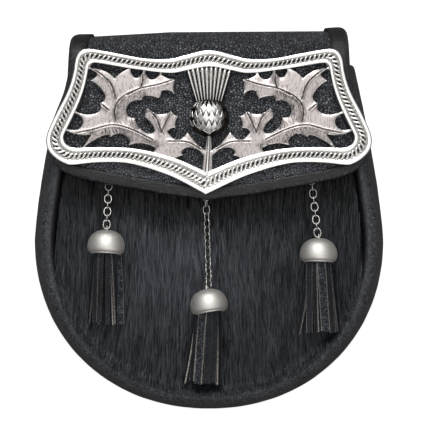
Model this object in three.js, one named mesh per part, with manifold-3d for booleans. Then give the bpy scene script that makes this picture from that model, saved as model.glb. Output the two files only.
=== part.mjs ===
// A sporran pouch, lying on its back: fur front, leather gusset and flap, a pierced cast plate and three
// chained tassels. Millimetres. The back face is z = 0, +Z points out of the front, +Y to the fold at the
// top, and the origin is the middle of the back at the bag's widest line.
import * as THREE from 'three';
import { mergeVertices } from 'three/addons/utils/BufferGeometryUtils.js';
import Module from 'manifold-3d';

const wasm = await Module();
wasm.setup();

// Bag outline
const BAG_WIDTH = 180;
const BAG_DROP = 87.2;
const BAG_RISE = 91;
const TOP_TAPER = 15.4;
const TAPER_POWER = 1.35;
const BELLY_POWER = 2.1;
const MOUTH_DROP = 11;

// Leather, and the room left between pieces
const FIT = 0.3;
const BACK_WALL = 2;
const BACK_INSET = 2;
const BACK_DIP_DEPTH = 7;
const BACK_EAR_WIDTH = 9.6;
const GUSSET_WALL = 2;
const GUSSET_DEPTH = 36.6;
const ROLL_WIDTH = 10.75;
const HIDE_WALL = 3;
const HIDE_BELOW_ROLL = 4.3;
const HIDE_CROWN = 3;

// Flap
const FLAP_WALL = 2;
const FLAP_WIDTH = 162;
const FLAP_TOP_TAPER = 20;
const FLAP_TAIL_TAPER = 38;
const FLAP_LENGTH = 84.5;
const FLAP_EDGE_RISE = 21.5;
const FOLD_RISE = 14;
const FOLD_FRONT_DEPTH = 13;
const FOLD_BACK_DEPTH = 29;
const TAIL_LENGTH = 12;
const SIDE_DROOP_HEIGHT = 1.5;
const BINDING_WALL = 1.2;
const BINDING_SIDE = 9.5;
const BINDING_CORNER = 7;
const BINDING_TIP = 4.3;
const BINDING_TUCK = 12;

// Strap rings
const TAB_LAYER = 1.5;
const TAB_WIDTH = 18;
const TAB_LENGTH = 16;
const RING_WIRE = 2.5;
const RING_WIDTH = 20;
const RING_HEIGHT = 11;
const TAIL_MARGIN = 5;
const RING_AXIS_Z = 3.5;

// Cast plate
const PLATE_OVERHANG = 2.8;
const PLATE_HEIGHT = 74.2;
const PLATE_TIP_ABOVE_FLAP = 2.7;
const LEAF_THICKNESS = 1.6;
const BORDER_HEIGHT = 2.5;
const VEIN_HEIGHT = 0.5;
const VEIN_WIDTH = 1.6;
const POST_RADIUS = 2.5;
const BULB_WIDTH = 20;
const BULB_LENGTH = 19.4;
const BULB_HEIGHT = 8.5;
const BULB_RISE = 39.7;
const TUFT_TOP_WIDTH = 22.6;
const TUFT_NECK_WIDTH = 13;
const TUFT_HEIGHT = 4;
const TUFT_RIBS = 9;
const STEM_TOP_WIDTH = 2.2;
const STEM_FOOT_WIDTH = 4;
const STEM_HEIGHT = 3;
const STUD_RADIUS = 5.5;
const STUD_RISE = 17.5;

// Chains, caps and tassels
const LINK_LENGTH = 5.4;
const LINK_WIDTH = 3.9;
const LINK_WIRE = 0.75;
const LINK_PLAY = 0.35;
const WIRE_SIDES = 5;
const EYE_RADIUS = 1.4;
const EYE_WIRE = 0.8;
const EYE_BASE_RADIUS = 2.6;
const EYE_BASE_HEIGHT = 0.6;
const EYE_LEG = 0.5;
const EYE_COVER = 4.5;
const CAP_RADIUS = 9.65;
const CAP_HEIGHT = 12;
const CAP_WALL = 1.1;
const BAIL_RADIUS = 1.7;
const BAIL_WIRE = 0.9;
const HEAD_HEIGHT = 4;
const STRIP_WIDTH = 3.1;
const STRIP_THICKNESS = 1.1;
const STRIP_LENGTH = 36.5;
const STRIPS_ROUND = 8;
const STRIPS_INSIDE = 2;
const TASSEL_LIE_HEIGHT = 7;

// Gusset section, from the back seam round the side to the lip of the roll: inset from the outline as a
// share of the roll's width, height as a share of the gusset's depth.
const GUSSET_SECTION = [
  { inset: 0.28, up: 0 },
  { inset: 0, up: 0.28 },
  { inset: 0.04, up: 0.68 },
  { inset: 0.3, up: 0.92 },
  { inset: 0.63, up: 1 },
  { inset: 1, up: 0.9 },
];

// Flap side, upwards from the lower corner: height as a share of corner to fold, half width as a share.
const FLAP_SIDE = [
  { up: 0, half: 1 },
  { up: 0.12, half: 0.996 },
  { up: 0.26, half: 0.975 },
  { up: 0.46, half: 0.932 },
  { up: 0.62, half: 0.909 },
  { up: 0.8, half: 0.899 },
  { up: 1, half: 0.893 },
];

// Flap lower edge, outwards from the middle: shares of the half width and of the rise to the corner.
const FLAP_EDGE = [
  { across: 0, rise: 0 },
  { across: 0.16, rise: 0.08 },
  { across: 0.28, rise: 0.13 },
  { across: 0.37, rise: 0.2 },
  { across: 0.54, rise: 0.31 },
  { across: 0.67, rise: 0.4 },
  { across: 0.79, rise: 0.49 },
  { across: 0.89, rise: 0.61 },
  { across: 0.95, rise: 0.75 },
  { across: 0.99, rise: 0.94 },
  { across: 1, rise: 1 },
];

// Half of the plate's border from the top middle to the tip: outer edge (x, y) and inner edge (u, v), as
// shares of the plate's half width and of its height above the tip.
const PLATE_BORDER = [
  { x: 0, y: 1, u: 0, v: 0.885 },
  { x: 0.151, y: 0.964, u: 0.126, v: 0.861 },
  { x: 0.229, y: 0.942, u: 0.215, v: 0.841 },
  { x: 0.323, y: 0.938, u: 0.316, v: 0.846 },
  { x: 0.417, y: 0.946, u: 0.403, v: 0.859 },
  { x: 0.543, y: 0.973, u: 0.525, v: 0.879 },
  { x: 0.668, y: 0.999, u: 0.638, v: 0.902 },
  { x: 0.746, y: 1.009, u: 0.699, v: 0.911 },
  { x: 0.792, y: 0.991, u: 0.722, v: 0.903 },
  { x: 0.817, y: 0.938, u: 0.734, v: 0.885 },
  { x: 0.828, y: 0.858, u: 0.743, v: 0.832 },
  { x: 0.848, y: 0.77, u: 0.761, v: 0.741 },
  { x: 0.88, y: 0.681, u: 0.792, v: 0.639 },
  { x: 0.934, y: 0.566, u: 0.838, v: 0.524 },
  { x: 0.981, y: 0.451, u: 0.881, v: 0.426 },
  { x: 0.996, y: 0.389, u: 0.888, v: 0.396 },
  { x: 0.993, y: 0.336, u: 0.883, v: 0.371 },
  { x: 0.974, y: 0.291, u: 0.871, v: 0.35 },
  { x: 0.934, y: 0.248, u: 0.85, v: 0.334 },
  { x: 0.887, y: 0.217, u: 0.827, v: 0.327 },
  { x: 0.84, y: 0.205, u: 0.8, v: 0.326 },
  { x: 0.699, y: 0.221, u: 0.68, v: 0.33 },
  { x: 0.543, y: 0.222, u: 0.531, v: 0.327 },
  { x: 0.425, y: 0.199, u: 0.403, v: 0.311 },
  { x: 0.308, y: 0.159, u: 0.268, v: 0.276 },
  { x: 0.19, y: 0.108, u: 0.143, v: 0.23 },
  { x: 0, y: 0, u: 0, v: 0.158 },
];

// Section of the border, outwards to inwards: share of its width, share of its height.
const BORDER_SECTION = [
  { across: 0, up: 0 },
  { across: 0, up: 0.55 },
  { across: 0.15, up: 0.94 },
  { across: 0.34, up: 0.65 },
  { across: 0.51, up: 1 },
  { across: 0.68, up: 0.65 },
  { across: 0.86, up: 0.94 },
  { across: 1, up: 0.55 },
  { across: 1, up: 0 },
];

// Pierced windows of one half. Each corner is a share of the plate's half width (x) and height (y), and
// bow is the height of the arc to the next corner as a share of its chord, outwards where positive.
const UPPER_CORNER = [
  { x: 0.732, y: 0.882, bow: 0 },
  { x: 0.709, y: 0.915, bow: 0 },
  { x: 0.488, y: 0.872, bow: -0.07 },
  { x: 0.576, y: 0.804, bow: -0.1 },
  { x: 0.709, y: 0.873, bow: 0 },
];
const OUTER_SIDE = [
  { x: 0.755, y: 0.868, bow: 0 },
  { x: 0.731, y: 0.868, bow: 0.6 },
  { x: 0.723, y: 0.789, bow: 0.08 },
  { x: 0.635, y: 0.687, bow: 0.19 },
  { x: 0.666, y: 0.633, bow: 0.24 },
  { x: 0.696, y: 0.561, bow: 0.1 },
  { x: 0.811, y: 0.575, bow: 0 },
  { x: 0.828, y: 0.584, bow: 0 },
];
const OUTER_LOBE = [
  { x: 0.821, y: 0.563, bow: 0.18 },
  { x: 0.77, y: 0.501, bow: 0.2 },
  { x: 0.834, y: 0.446, bow: 0 },
  { x: 0.865, y: 0.452, bow: 0 },
  { x: 0.88, y: 0.47, bow: 0 },
  { x: 0.834, y: 0.574, bow: 0 },
];
const LOWER_CORNER = [
  { x: 0.87, y: 0.441, bow: -0.09 },
  { x: 0.717, y: 0.419, bow: 0 },
  { x: 0.768, y: 0.335, bow: 0 },
  { x: 0.782, y: 0.31, bow: 0 },
  { x: 0.86, y: 0.31, bow: 0 },
  { x: 0.896, y: 0.359, bow: 0 },
  { x: 0.896, y: 0.43, bow: 0 },
];
const LOWER_SIDE = [
  { x: 0.756, y: 0.335, bow: 0.05 },
  { x: 0.623, y: 0.415, bow: 0.2 },
  { x: 0.604, y: 0.398, bow: 0.26 },
  { x: 0.484, y: 0.373, bow: 0 },
  { x: 0.489, y: 0.344, bow: 0.11 },
  { x: 0.327, y: 0.324, bow: 0.2 },
  { x: 0.338, y: 0.297, bow: 0 },
  { x: 0.353, y: 0.269, bow: 0 },
  { x: 0.488, y: 0.297, bow: 0 },
  { x: 0.757, y: 0.304, bow: 0 },
];
const TOP_SCALLOP_OUTER = [
  { x: 0.479, y: 0.879, bow: 0 },
  { x: 0.405, y: 0.865, bow: 0 },
  { x: 0.407, y: 0.84, bow: 0.46 },
  { x: 0.479, y: 0.85, bow: 0 },
];
const TOP_SCALLOP_INNER = [
  { x: 0.39, y: 0.868, bow: 0 },
  { x: 0.301, y: 0.854, bow: 0 },
  { x: 0.303, y: 0.827, bow: 0.38 },
  { x: 0.391, y: 0.84, bow: 0 },
];
const CENTRE_FIELD = [
  { x: 0.29, y: 0.855, bow: 0 },
  { x: 0.127, y: 0.879, bow: 0 },
  { x: 0.012, y: 0.9, bow: 0 },
  { x: 0.012, y: 0.394, bow: 0 },
  { x: 0.02, y: 0.304, bow: 0.05 },
  { x: 0.13, y: 0.433, bow: 0.36 },
  { x: 0.254, y: 0.433, bow: 0.16 },
  { x: 0.205, y: 0.463, bow: 0.11 },
  { x: 0.189, y: 0.54, bow: 0.08 },
  { x: 0.232, y: 0.576, bow: 0.19 },
  { x: 0.377, y: 0.6, bow: -0.05 },
  { x: 0.393, y: 0.535, bow: 0.09 },
  { x: 0.331, y: 0.446, bow: 0.24 },
  { x: 0.38, y: 0.426, bow: 0.14 },
  { x: 0.452, y: 0.532, bow: 0.27 },
  { x: 0.506, y: 0.588, bow: 0.16 },
  { x: 0.443, y: 0.652, bow: 0 },
  { x: 0.409, y: 0.653, bow: 0.15 },
  { x: 0.393, y: 0.683, bow: 0.06 },
  { x: 0.311, y: 0.667, bow: -0.15 },
  { x: 0.292, y: 0.716, bow: 0.17 },
  { x: 0.213, y: 0.697, bow: 0.09 },
  { x: 0.205, y: 0.801, bow: 0.11 },
  { x: 0.29, y: 0.83, bow: 0 },
];
const STEM_SIDE = [
  { x: 0.162, y: 0.303, bow: 0.15 },
  { x: 0.106, y: 0.326, bow: 0.1 },
  { x: 0.025, y: 0.268, bow: 0 },
  { x: 0.03, y: 0.165, bow: 0 },
  { x: 0.047, y: 0.137, bow: 0 },
  { x: 0.2, y: 0.22, bow: 0 },
  { x: 0.195, y: 0.256, bow: 0.05 },
  { x: 0.155, y: 0.273, bow: 0.15 },
];
const WINDOWS = [
  UPPER_CORNER, OUTER_SIDE, OUTER_LOBE, LOWER_CORNER, LOWER_SIDE,
  TOP_SCALLOP_OUTER, TOP_SCALLOP_INNER, CENTRE_FIELD, STEM_SIDE,
];

// Raised leaf veins of one half: start, middle and end as the same shares.
const VEINS = [
  { x: 0.68, y: 0.86, mx: 0.58, my: 0.76, ex: 0.55, ey: 0.58 },
  { x: 0.24, y: 0.79, mx: 0.39, my: 0.755, ex: 0.52, ey: 0.66 },
  { x: 0.8, y: 0.448, mx: 0.62, my: 0.5, ex: 0.46, ey: 0.43 },
  { x: 0.362, y: 0.578, mx: 0.312, my: 0.5, ex: 0.295, ey: 0.41 },
  { x: 0.222, y: 0.555, mx: 0.25, my: 0.48, ex: 0.3, ey: 0.39 },
];

// Each drop: its links, where its eye and its cap sit across the bag's half width, how deep the eye hides
// under the flap as a share of the cover, the twist of its chain per link, its cap's tilt, the spread of
// its outer strip as a share of the cap's radius, and its route as shares of the chain (down) with the lift
// above the hide.
const LYING_LIFT = LINK_WIDTH / 2 + FIT;
const CAP_LIFT = CAP_RADIUS + FIT;
const EYE_LIFT = FIT + EYE_BASE_HEIGHT + EYE_LEG + EYE_WIRE / 8;
const DROPS = [
  {
    name: 'left', links: 7, eye: -0.572, end: -0.585, cover: 0.45, twist: 0, tilt: 0, splay: -0.12,
    route: [{ down: 0, lift: EYE_LIFT }, { down: 0.215, lift: LYING_LIFT }, { down: 0.975, lift: CAP_LIFT }],
  },
  {
    name: 'centre', links: 14, eye: -0.018, end: 0, cover: 1, twist: 12, tilt: -3, splay: -0.2,
    route: [
      { down: 0, lift: EYE_LIFT }, { down: 0.116, lift: 1.1 * LYING_LIFT }, { down: 0.367, lift: LYING_LIFT },
      { down: 0.618, lift: 1.25 * LYING_LIFT }, { down: 0.972, lift: CAP_LIFT },
    ],
  },
  {
    name: 'right', links: 9, eye: 0.583, end: 0.623, cover: 1.07, twist: 0, tilt: 3, splay: -0.5,
    route: [
      { down: 0, lift: EYE_LIFT }, { down: 0.176, lift: LYING_LIFT }, { down: 0.4, lift: 1.4 * LYING_LIFT },
      { down: 0.98, lift: CAP_LIFT },
    ],
  },
];

// Levels that the pieces share
const HALF_BAG = BAG_WIDTH / 2;
const MOUTH_Y = BAG_RISE - MOUTH_DROP;
const BACK_TOP_Y = BAG_RISE - BACK_DIP_DEPTH;
const FOLD_TOP_Y = BAG_RISE + FOLD_RISE;
const FOLD_FRONT_Y = FOLD_TOP_Y - FOLD_FRONT_DEPTH;
const FOLD_BACK_Y = FOLD_TOP_Y - FOLD_BACK_DEPTH;
const BINDING_END_Y = FOLD_TOP_Y - BINDING_TUCK;
const FLAP_TIP_Y = FOLD_TOP_Y - FLAP_LENGTH;
const STUD_Y = FLAP_TIP_Y + STUD_RISE;
const FLAP_TOP_WIDTH = FLAP_WIDTH - FLAP_TOP_TAPER;
const FLAP_TAIL_WIDTH = FLAP_WIDTH - FLAP_TAIL_TAPER;
const PLATE_WIDTH = FLAP_WIDTH + 2 * PLATE_OVERHANG;
const RING_SPACING = FLAP_TAIL_WIDTH - TAB_WIDTH - 2 * TAIL_MARGIN;
const SEAM_Z = BACK_WALL + FIT;
const CREST_Z = SEAM_Z + GUSSET_DEPTH;
const HIDE_EDGE_Z = CREST_Z - HIDE_BELOW_ROLL;
const BINDING_HALF = FLAP_WALL / 2 + FIT + BINDING_WALL;
const TAIL_Z = BACK_WALL + 2 * TAB_LAYER + 2 * FIT + FLAP_WALL / 2;
const FRONT_Z = CREST_Z + FIT + BINDING_HALF + SIDE_DROOP_HEIGHT;
const PLATE_Z = FRONT_Z + BINDING_HALF + FIT;
const PLATE_TIP_Y = FLAP_TIP_Y + PLATE_TIP_ABOVE_FLAP;
const FLAP_CORNER_Y = FLAP_TIP_Y + FLAP_EDGE_RISE;
const LINK_PITCH = LINK_LENGTH - 2 * LINK_WIRE - LINK_PLAY;
const HOOK_REACH = LINK_LENGTH / 2 - LINK_WIRE / 2;

const leather = new THREE.MeshStandardMaterial({ color: 0x26282c, roughness: 0.45, metalness: 0 });
const pebbled = new THREE.MeshStandardMaterial({ color: 0x34373c, roughness: 0.6, metalness: 0 });
const fur = new THREE.MeshStandardMaterial({ color: 0x22262b, roughness: 0.85, metalness: 0 });
const castMetal = new THREE.MeshStandardMaterial({ color: 0xd8d4d0, roughness: 0.3, metalness: 1 });
const satinMetal = new THREE.MeshStandardMaterial({ color: 0xc9c4bd, roughness: 0.38, metalness: 1 });
const wireMetal = new THREE.MeshStandardMaterial({ color: 0xd0d0d0, roughness: 0.25, metalness: 1 });

function signedVolume(positions, index) {
  let volume = 0;
  for (let i = 0; i < index.length; i += 3) {
    const [a, b, c] = [0, 1, 2].map((k) => new THREE.Vector3().fromArray(positions, 3 * index[i + k]));
    volume += a.dot(b.cross(c)) / 6;
  }
  return volume;
}

// A closed geometry whose faces point out, from positions and triangles wound all one way.
function closedGeometry(positions, index) {
  if (signedVolume(positions, index) < 0) index.reverse();
  const geometry = new THREE.BufferGeometry();
  geometry.setAttribute('position', new THREE.Float32BufferAttribute(positions, 3));
  geometry.setIndex(index);
  return geometry;
}

// Triangles that close the end of a section given as a ring of 2D points.
function capFaces(section) {
  const faces = THREE.ShapeUtils.triangulateShape(section, []);
  const first = THREE.ShapeUtils.area(faces[0].map((i) => section[i]));
  const turnsAlike = first * THREE.ShapeUtils.area(section) > 0;
  return turnsAlike ? faces : faces.map(([i, j, k]) => [i, k, j]);
}

// Triangles that close a ring made of a row of points out and the same row back.
function stripFaces(sides) {
  const faces = [];
  for (let i = 0; i < sides / 2 - 1; i += 1) {
    faces.push([i, i + 1, sides - 2 - i], [i, sides - 2 - i, sides - 1 - i]);
  }
  return faces;
}

function fanFaces(sides) {
  return Array.from({ length: sides - 2 }, (_, i) => [0, i + 1, i + 2]);
}

// A skin over a row of rings with as many points each. Without faces for its ends it closes on itself.
function skin(rings, endFaces = null) {
  const sides = rings[0].length;
  const positions = rings.flat().flatMap((p) => [p.x, p.y, p.z]);
  const index = [];
  const spans = endFaces ? rings.length - 1 : rings.length;
  for (let i = 0; i < spans; i += 1) {
    const a = i * sides;
    const b = ((i + 1) % rings.length) * sides;
    for (let j = 0; j < sides; j += 1) {
      const k = (j + 1) % sides;
      index.push(a + j, b + j, a + k, a + k, b + j, b + k);
    }
  }
  if (endFaces) {
    const last = (rings.length - 1) * sides;
    for (const [p, q, r] of endFaces) index.push(p, q, r, last + p, last + r, last + q);
  }
  return closedGeometry(positions, index);
}

// Shared corners merged and empty triangles dropped, with only the positions kept.
function welded(geometry) {
  const bare = geometry.clone();
  bare.deleteAttribute('normal');
  bare.deleteAttribute('uv');
  const merged = mergeVertices(bare, 1e-4);
  const index = [];
  for (let i = 0; i < merged.index.count; i += 3) {
    const [a, b, c] = [0, 1, 2].map((k) => merged.index.getX(i + k));
    if (a !== b && b !== c && c !== a) index.push(a, b, c);
  }
  return closedGeometry(Array.from(merged.attributes.position.array), index);
}

function toSolid(geometry) {
  const clean = welded(geometry);
  return new wasm.Manifold(new wasm.Mesh({
    numProp: 3,
    vertProperties: Float32Array.from(clean.attributes.position.array),
    triVerts: Uint32Array.from(clean.index.array),
  }));
}

function fromSolid(solid) {
  const mesh = solid.getMesh();
  return closedGeometry(Array.from(mesh.vertProperties), Array.from(mesh.triVerts));
}

function fused(geometries) {
  const solids = geometries.map(toSolid);
  return fromSolid(solids.reduce((sum, solid) => sum.add(solid)));
}

function piece(parent, name, geometry, material) {
  const mesh = new THREE.Mesh(geometry, material);
  mesh.name = name;
  parent.add(mesh);
  return mesh;
}

function between(rows, key, value, at) {
  const next = Math.max(1, rows.findIndex((row) => row[key] >= at));
  const [a, b] = [rows[next - 1], rows[next]];
  const share = THREE.MathUtils.clamp((at - a[key]) / (b[key] - a[key]), 0, 1);
  return THREE.MathUtils.lerp(a[value], b[value], share);
}

// Rings of a wire with mitred corners along a row of 2D points, flat in the XY plane.
function wireRings(path, wire, sides, closed) {
  const count = path.length;
  return path.map((point, i) => {
    const before = closed ? path[(i + count - 1) % count] : path[Math.max(0, i - 1)];
    const after = closed ? path[(i + 1) % count] : path[Math.min(count - 1, i + 1)];
    const leaving = after.clone().sub(point).normalize();
    const along = point.clone().sub(before).normalize().add(leaving).normalize();
    const across = new THREE.Vector2(along.y, -along.x);
    const mitre = closed || i < count - 1 ? 1 / Math.max(0.5, along.dot(leaving)) : 1;
    return Array.from({ length: sides }, (_, k) => {
      const angle = (2 * Math.PI * (k + 0.5)) / sides;
      const out = (wire / 2) * Math.cos(angle) * mitre;
      return new THREE.Vector3(
        point.x + across.x * out, point.y + across.y * out, (wire / 2) * Math.sin(angle),
      );
    });
  });
}

function closedTube(path, wire, sides) {
  return skin(wireRings(path, wire, sides, true));
}

function openTube(path, wire, sides) {
  return skin(wireRings(path, wire, sides, false), fanFaces(sides));
}

// The bag's outline, round from the right side's top to the left side's top, with outward normals.
function outlineStations(top, sideSteps, bellySteps) {
  const half = [];
  for (let i = 0; i < sideSteps; i += 1) {
    const y = top * (1 - i / sideSteps);
    half.push(new THREE.Vector2(HALF_BAG - TOP_TAPER * (y / BAG_RISE) ** TAPER_POWER, y));
  }
  for (let i = 0; i <= bellySteps; i += 1) {
    const angle = (i / bellySteps) * (Math.PI / 2);
    const across = Math.max(0, Math.cos(angle)) ** (2 / BELLY_POWER);
    half.push(new THREE.Vector2(HALF_BAG * across, -BAG_DROP * Math.sin(angle) ** (2 / BELLY_POWER)));
  }
  half[half.length - 1].x = 0;
  const left = half.slice(0, -1).reverse().map((p) => new THREE.Vector2(-p.x, p.y));
  const points = [...half, ...left];
  return points.map((point, i) => {
    const before = points[Math.max(0, i - 1)];
    const after = points[Math.min(points.length - 1, i + 1)];
    const along = after.clone().sub(before).normalize();
    return { point, out: new THREE.Vector2(-along.y, along.x) };
  });
}

function insetStations(top, sideSteps, bellySteps, inset) {
  return outlineStations(top, sideSteps, bellySteps)
    .map(({ point, out }) => point.clone().addScaledVector(out, -inset));
}

function backPanel() {
  const rim = insetStations(BAG_RISE, 6, 12, BACK_INSET);
  const dip = rim[0].x - BACK_EAR_WIDTH;
  const shoulder = dip + BACK_EAR_WIDTH / 3;
  const top = [
    new THREE.Vector2(-shoulder, rim[0].y), new THREE.Vector2(-dip, BACK_TOP_Y),
    new THREE.Vector2(dip, BACK_TOP_Y), new THREE.Vector2(shoulder, rim[0].y),
  ];
  return new THREE.ExtrudeGeometry(new THREE.Shape([...rim, ...top]), {
    depth: BACK_WALL, bevelEnabled: false,
  });
}

// The gusset's section as a closed ring of (inset, height): its outer face, then its inner face back.
function gussetSection() {
  const outer = GUSSET_SECTION.map((row) => (
    new THREE.Vector2(row.inset * ROLL_WIDTH, SEAM_Z + row.up * GUSSET_DEPTH)
  ));
  const inner = outer.map((point, i) => {
    const before = outer[Math.max(0, i - 1)];
    const after = outer[Math.min(outer.length - 1, i + 1)];
    const along = after.clone().sub(before).normalize();
    return point.clone().add(new THREE.Vector2(along.y, -along.x).multiplyScalar(GUSSET_WALL));
  });
  inner[0].y = outer[0].y;
  return [...outer, ...inner.reverse()];
}

function gusset() {
  const section = gussetSection();
  const rings = outlineStations(BAG_RISE, 6, 12).map(({ point, out }) => section.map((s) => (
    new THREE.Vector3(point.x - out.x * s.x, point.y - out.y * s.x, s.y)
  )));
  return skin(rings, capFaces(section));
}

// Height of the front hide's outer face: highest in the belly, lower to the sides and the bottom.
function hideZ(x, y) {
  const across = x / (HALF_BAG - ROLL_WIDTH);
  const reach = y < 0 ? BAG_DROP - ROLL_WIDTH : 1.4 * MOUTH_Y;
  const share = Math.max(0, 1 - across ** 2) * Math.max(0, 1 - (y / reach) ** 2);
  return HIDE_EDGE_Z + HIDE_CROWN * share;
}

// The front hide: rings from its middle out on the inner face, and back in on the outer face.
function frontPanel() {
  const rim = insetStations(MOUTH_Y, 5, 12, ROLL_WIDTH + FIT);
  const [right, left] = [rim[0], rim[rim.length - 1]];
  const mouth = [0.2, 0.4, 0.6, 0.8].map((share) => left.clone().lerp(right, share));
  const outline = [...rim, ...mouth];
  const shares = [0.4, 0.75, 1];
  const ring = (share, drop) => outline.map((p) => {
    const [x, y] = [p.x * share, p.y * share];
    return new THREE.Vector3(x, y, hideZ(x, y) - drop);
  });
  const inner = shares.map((share) => ring(share, HIDE_WALL));
  const outer = [...shares].reverse().map((share) => ring(share, 0));
  return skin([...inner, ...outer], fanFaces(outline.length));
}

// The fold's middle line from the front's top edge over the top and round to the tail.
const foldLine = new THREE.CurvePath();
const foldMiddle = (FRONT_Z + TAIL_Z) / 2;
foldLine.add(new THREE.EllipseCurve(
  FOLD_FRONT_Y, foldMiddle, FOLD_TOP_Y - FOLD_FRONT_Y, FRONT_Z - foldMiddle, Math.PI / 2, 0, true,
));
foldLine.add(new THREE.EllipseCurve(
  FOLD_BACK_Y, foldMiddle, FOLD_TOP_Y - FOLD_BACK_Y, foldMiddle - TAIL_Z, 0, -Math.PI / 2, true,
));
foldLine.add(new THREE.LineCurve(
  new THREE.Vector2(FOLD_BACK_Y, TAIL_Z), new THREE.Vector2(FOLD_BACK_Y - TAIL_LENGTH, TAIL_Z),
));
const FOLD_LENGTH = foldLine.getLength();
const [overTop, underTop] = foldLine.getCurveLengths();

// A point of the flap at x, at the run t up its front and on over the fold, at a height off its middle.
function flapPoint(x, t, height) {
  const droop = SIDE_DROOP_HEIGHT * Math.min(1, Math.abs((2 * x) / FLAP_WIDTH)) ** 4;
  if (t <= FOLD_FRONT_Y) return new THREE.Vector3(x, t, FRONT_Z - droop + height);
  const share = Math.min(1, (t - FOLD_FRONT_Y) / FOLD_LENGTH);
  const at = foldLine.getPoint(share);
  const along = foldLine.getPoint(Math.min(1, share + 0.01)).sub(foldLine.getPoint(share - 0.01));
  const out = new THREE.Vector2(-along.y, along.x).normalize();
  const left = droop * Math.max(0, 1 - (t - FOLD_FRONT_Y) / overTop);
  return new THREE.Vector3(x, at.x + out.x * height, at.y + out.y * height - left);
}

function flapHalfWidth(t) {
  if (t > FOLD_FRONT_Y) {
    const past = THREE.MathUtils.smoothstep(t - FOLD_FRONT_Y, overTop, underTop);
    const sides = THREE.MathUtils.lerp(
      FLAP_SIDE[FLAP_SIDE.length - 1].half * FLAP_WIDTH, FLAP_TOP_WIDTH,
      Math.min(1, (t - FOLD_FRONT_Y) / overTop),
    );
    return THREE.MathUtils.lerp(sides, FLAP_TAIL_WIDTH, past) / 2;
  }
  const up = Math.max(0, (t - FLAP_CORNER_Y) / (FOLD_FRONT_Y - FLAP_CORNER_Y));
  return between(FLAP_SIDE, 'up', 'half', up) * (FLAP_WIDTH / 2);
}

function flapLowerEdge(x) {
  const across = Math.min(1, Math.abs((2 * x) / FLAP_WIDTH));
  return FLAP_TIP_Y + between(FLAP_EDGE, 'across', 'rise', across) * FLAP_EDGE_RISE;
}

// The run behind the fold at which the flap's under side comes back to a given height.
function foldRunAt(y) {
  const share = (y - FOLD_BACK_Y) / (FOLD_TOP_Y - FOLD_BACK_Y);
  const angle = Math.acos(share);
  const steps = 40;
  let run = overTop;
  for (let i = 0; i < steps; i += 1) {
    const turn = (angle * (i + 0.5)) / steps;
    const dy = (FOLD_TOP_Y - FOLD_BACK_Y) * Math.sin(turn);
    const dz = (foldMiddle - TAIL_Z) * Math.cos(turn);
    run += (Math.hypot(dy, dz) * angle) / steps;
  }
  return FOLD_FRONT_Y + run;
}

// Runs from the tail's end over the fold to the front's top edge, shared by the panel and its binding.
const bindingEnd = foldRunAt(BINDING_END_Y);
const TAIL_RUNS = [0, 1, 2, 3].map((i) => (
  THREE.MathUtils.lerp(FOLD_FRONT_Y + FOLD_LENGTH, bindingEnd, i / 4)
));
const TOP_RUNS = [0, 1, 2, 3, 4, 5, 6].map((i) => THREE.MathUtils.lerp(bindingEnd, FOLD_FRONT_Y, i / 7));

// The pebbled panel, from its tail inside the back over the fold to the groove of the binding.
function flapPanel() {
  const inset = BINDING_WALL + 3 * FIT;
  const columns = [-1, -0.87, -0.65, -0.25, 0.25, 0.65, 0.87, 1];
  const foldRuns = [...TAIL_RUNS, ...TOP_RUNS];
  const frontShares = [0, 0.2, 0.38, 0.54, 0.76, 1];
  const runs = (column) => {
    const x = Math.abs(column) * (FLAP_WIDTH / 2 - inset);
    const slope = (flapLowerEdge(x + inset) - flapLowerEdge(x)) / inset;
    const end = flapLowerEdge(x) + inset * Math.hypot(1, slope);
    return [...foldRuns, ...frontShares.map((share) => THREE.MathUtils.lerp(FOLD_FRONT_Y, end, share))];
  };
  const rows = foldRuns.length + frontShares.length;
  const at = (row, column, height) => {
    const t = runs(column)[row];
    return flapPoint(column * (flapHalfWidth(t) - inset), t, height);
  };
  const rings = Array.from({ length: rows }, (_, row) => [
    ...columns.map((column) => at(row, column, FLAP_WALL / 2)),
    ...[...columns].reverse().map((column) => at(row, column, -FLAP_WALL / 2)),
  ]);
  return skin(rings, stripFaces(2 * columns.length));
}

// The binding's section (in from its edge, off the flap's middle): a fold of leather round the panel.
function bindingSection(width) {
  const open = FLAP_WALL / 2 + 1.5 * FIT;
  return [
    [width, open], [width, BINDING_HALF], [0.8 * BINDING_WALL, 0.8 * BINDING_HALF], [0, 0],
    [0.8 * BINDING_WALL, -0.8 * BINDING_HALF], [width, -BINDING_HALF], [width, -open],
    [BINDING_WALL + FIT, -open], [BINDING_WALL + FIT, open],
  ];
}

// The flap's edge as (x, run) from behind the fold's right end down the side and along to the middle.
function flapEdgeHalf() {
  const points = TOP_RUNS.map((t) => new THREE.Vector2(flapHalfWidth(t), t));
  for (const share of [1, 0.8, 0.62, 0.46, 0.26, 0.1]) {
    const t = THREE.MathUtils.lerp(FLAP_CORNER_Y, FOLD_FRONT_Y, share);
    points.push(new THREE.Vector2(flapHalfWidth(t), t));
  }
  for (const row of [...FLAP_EDGE].reverse()) {
    const x = row.across * (FLAP_WIDTH / 2);
    points.push(new THREE.Vector2(x, flapLowerEdge(x)));
  }
  return points;
}

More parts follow.
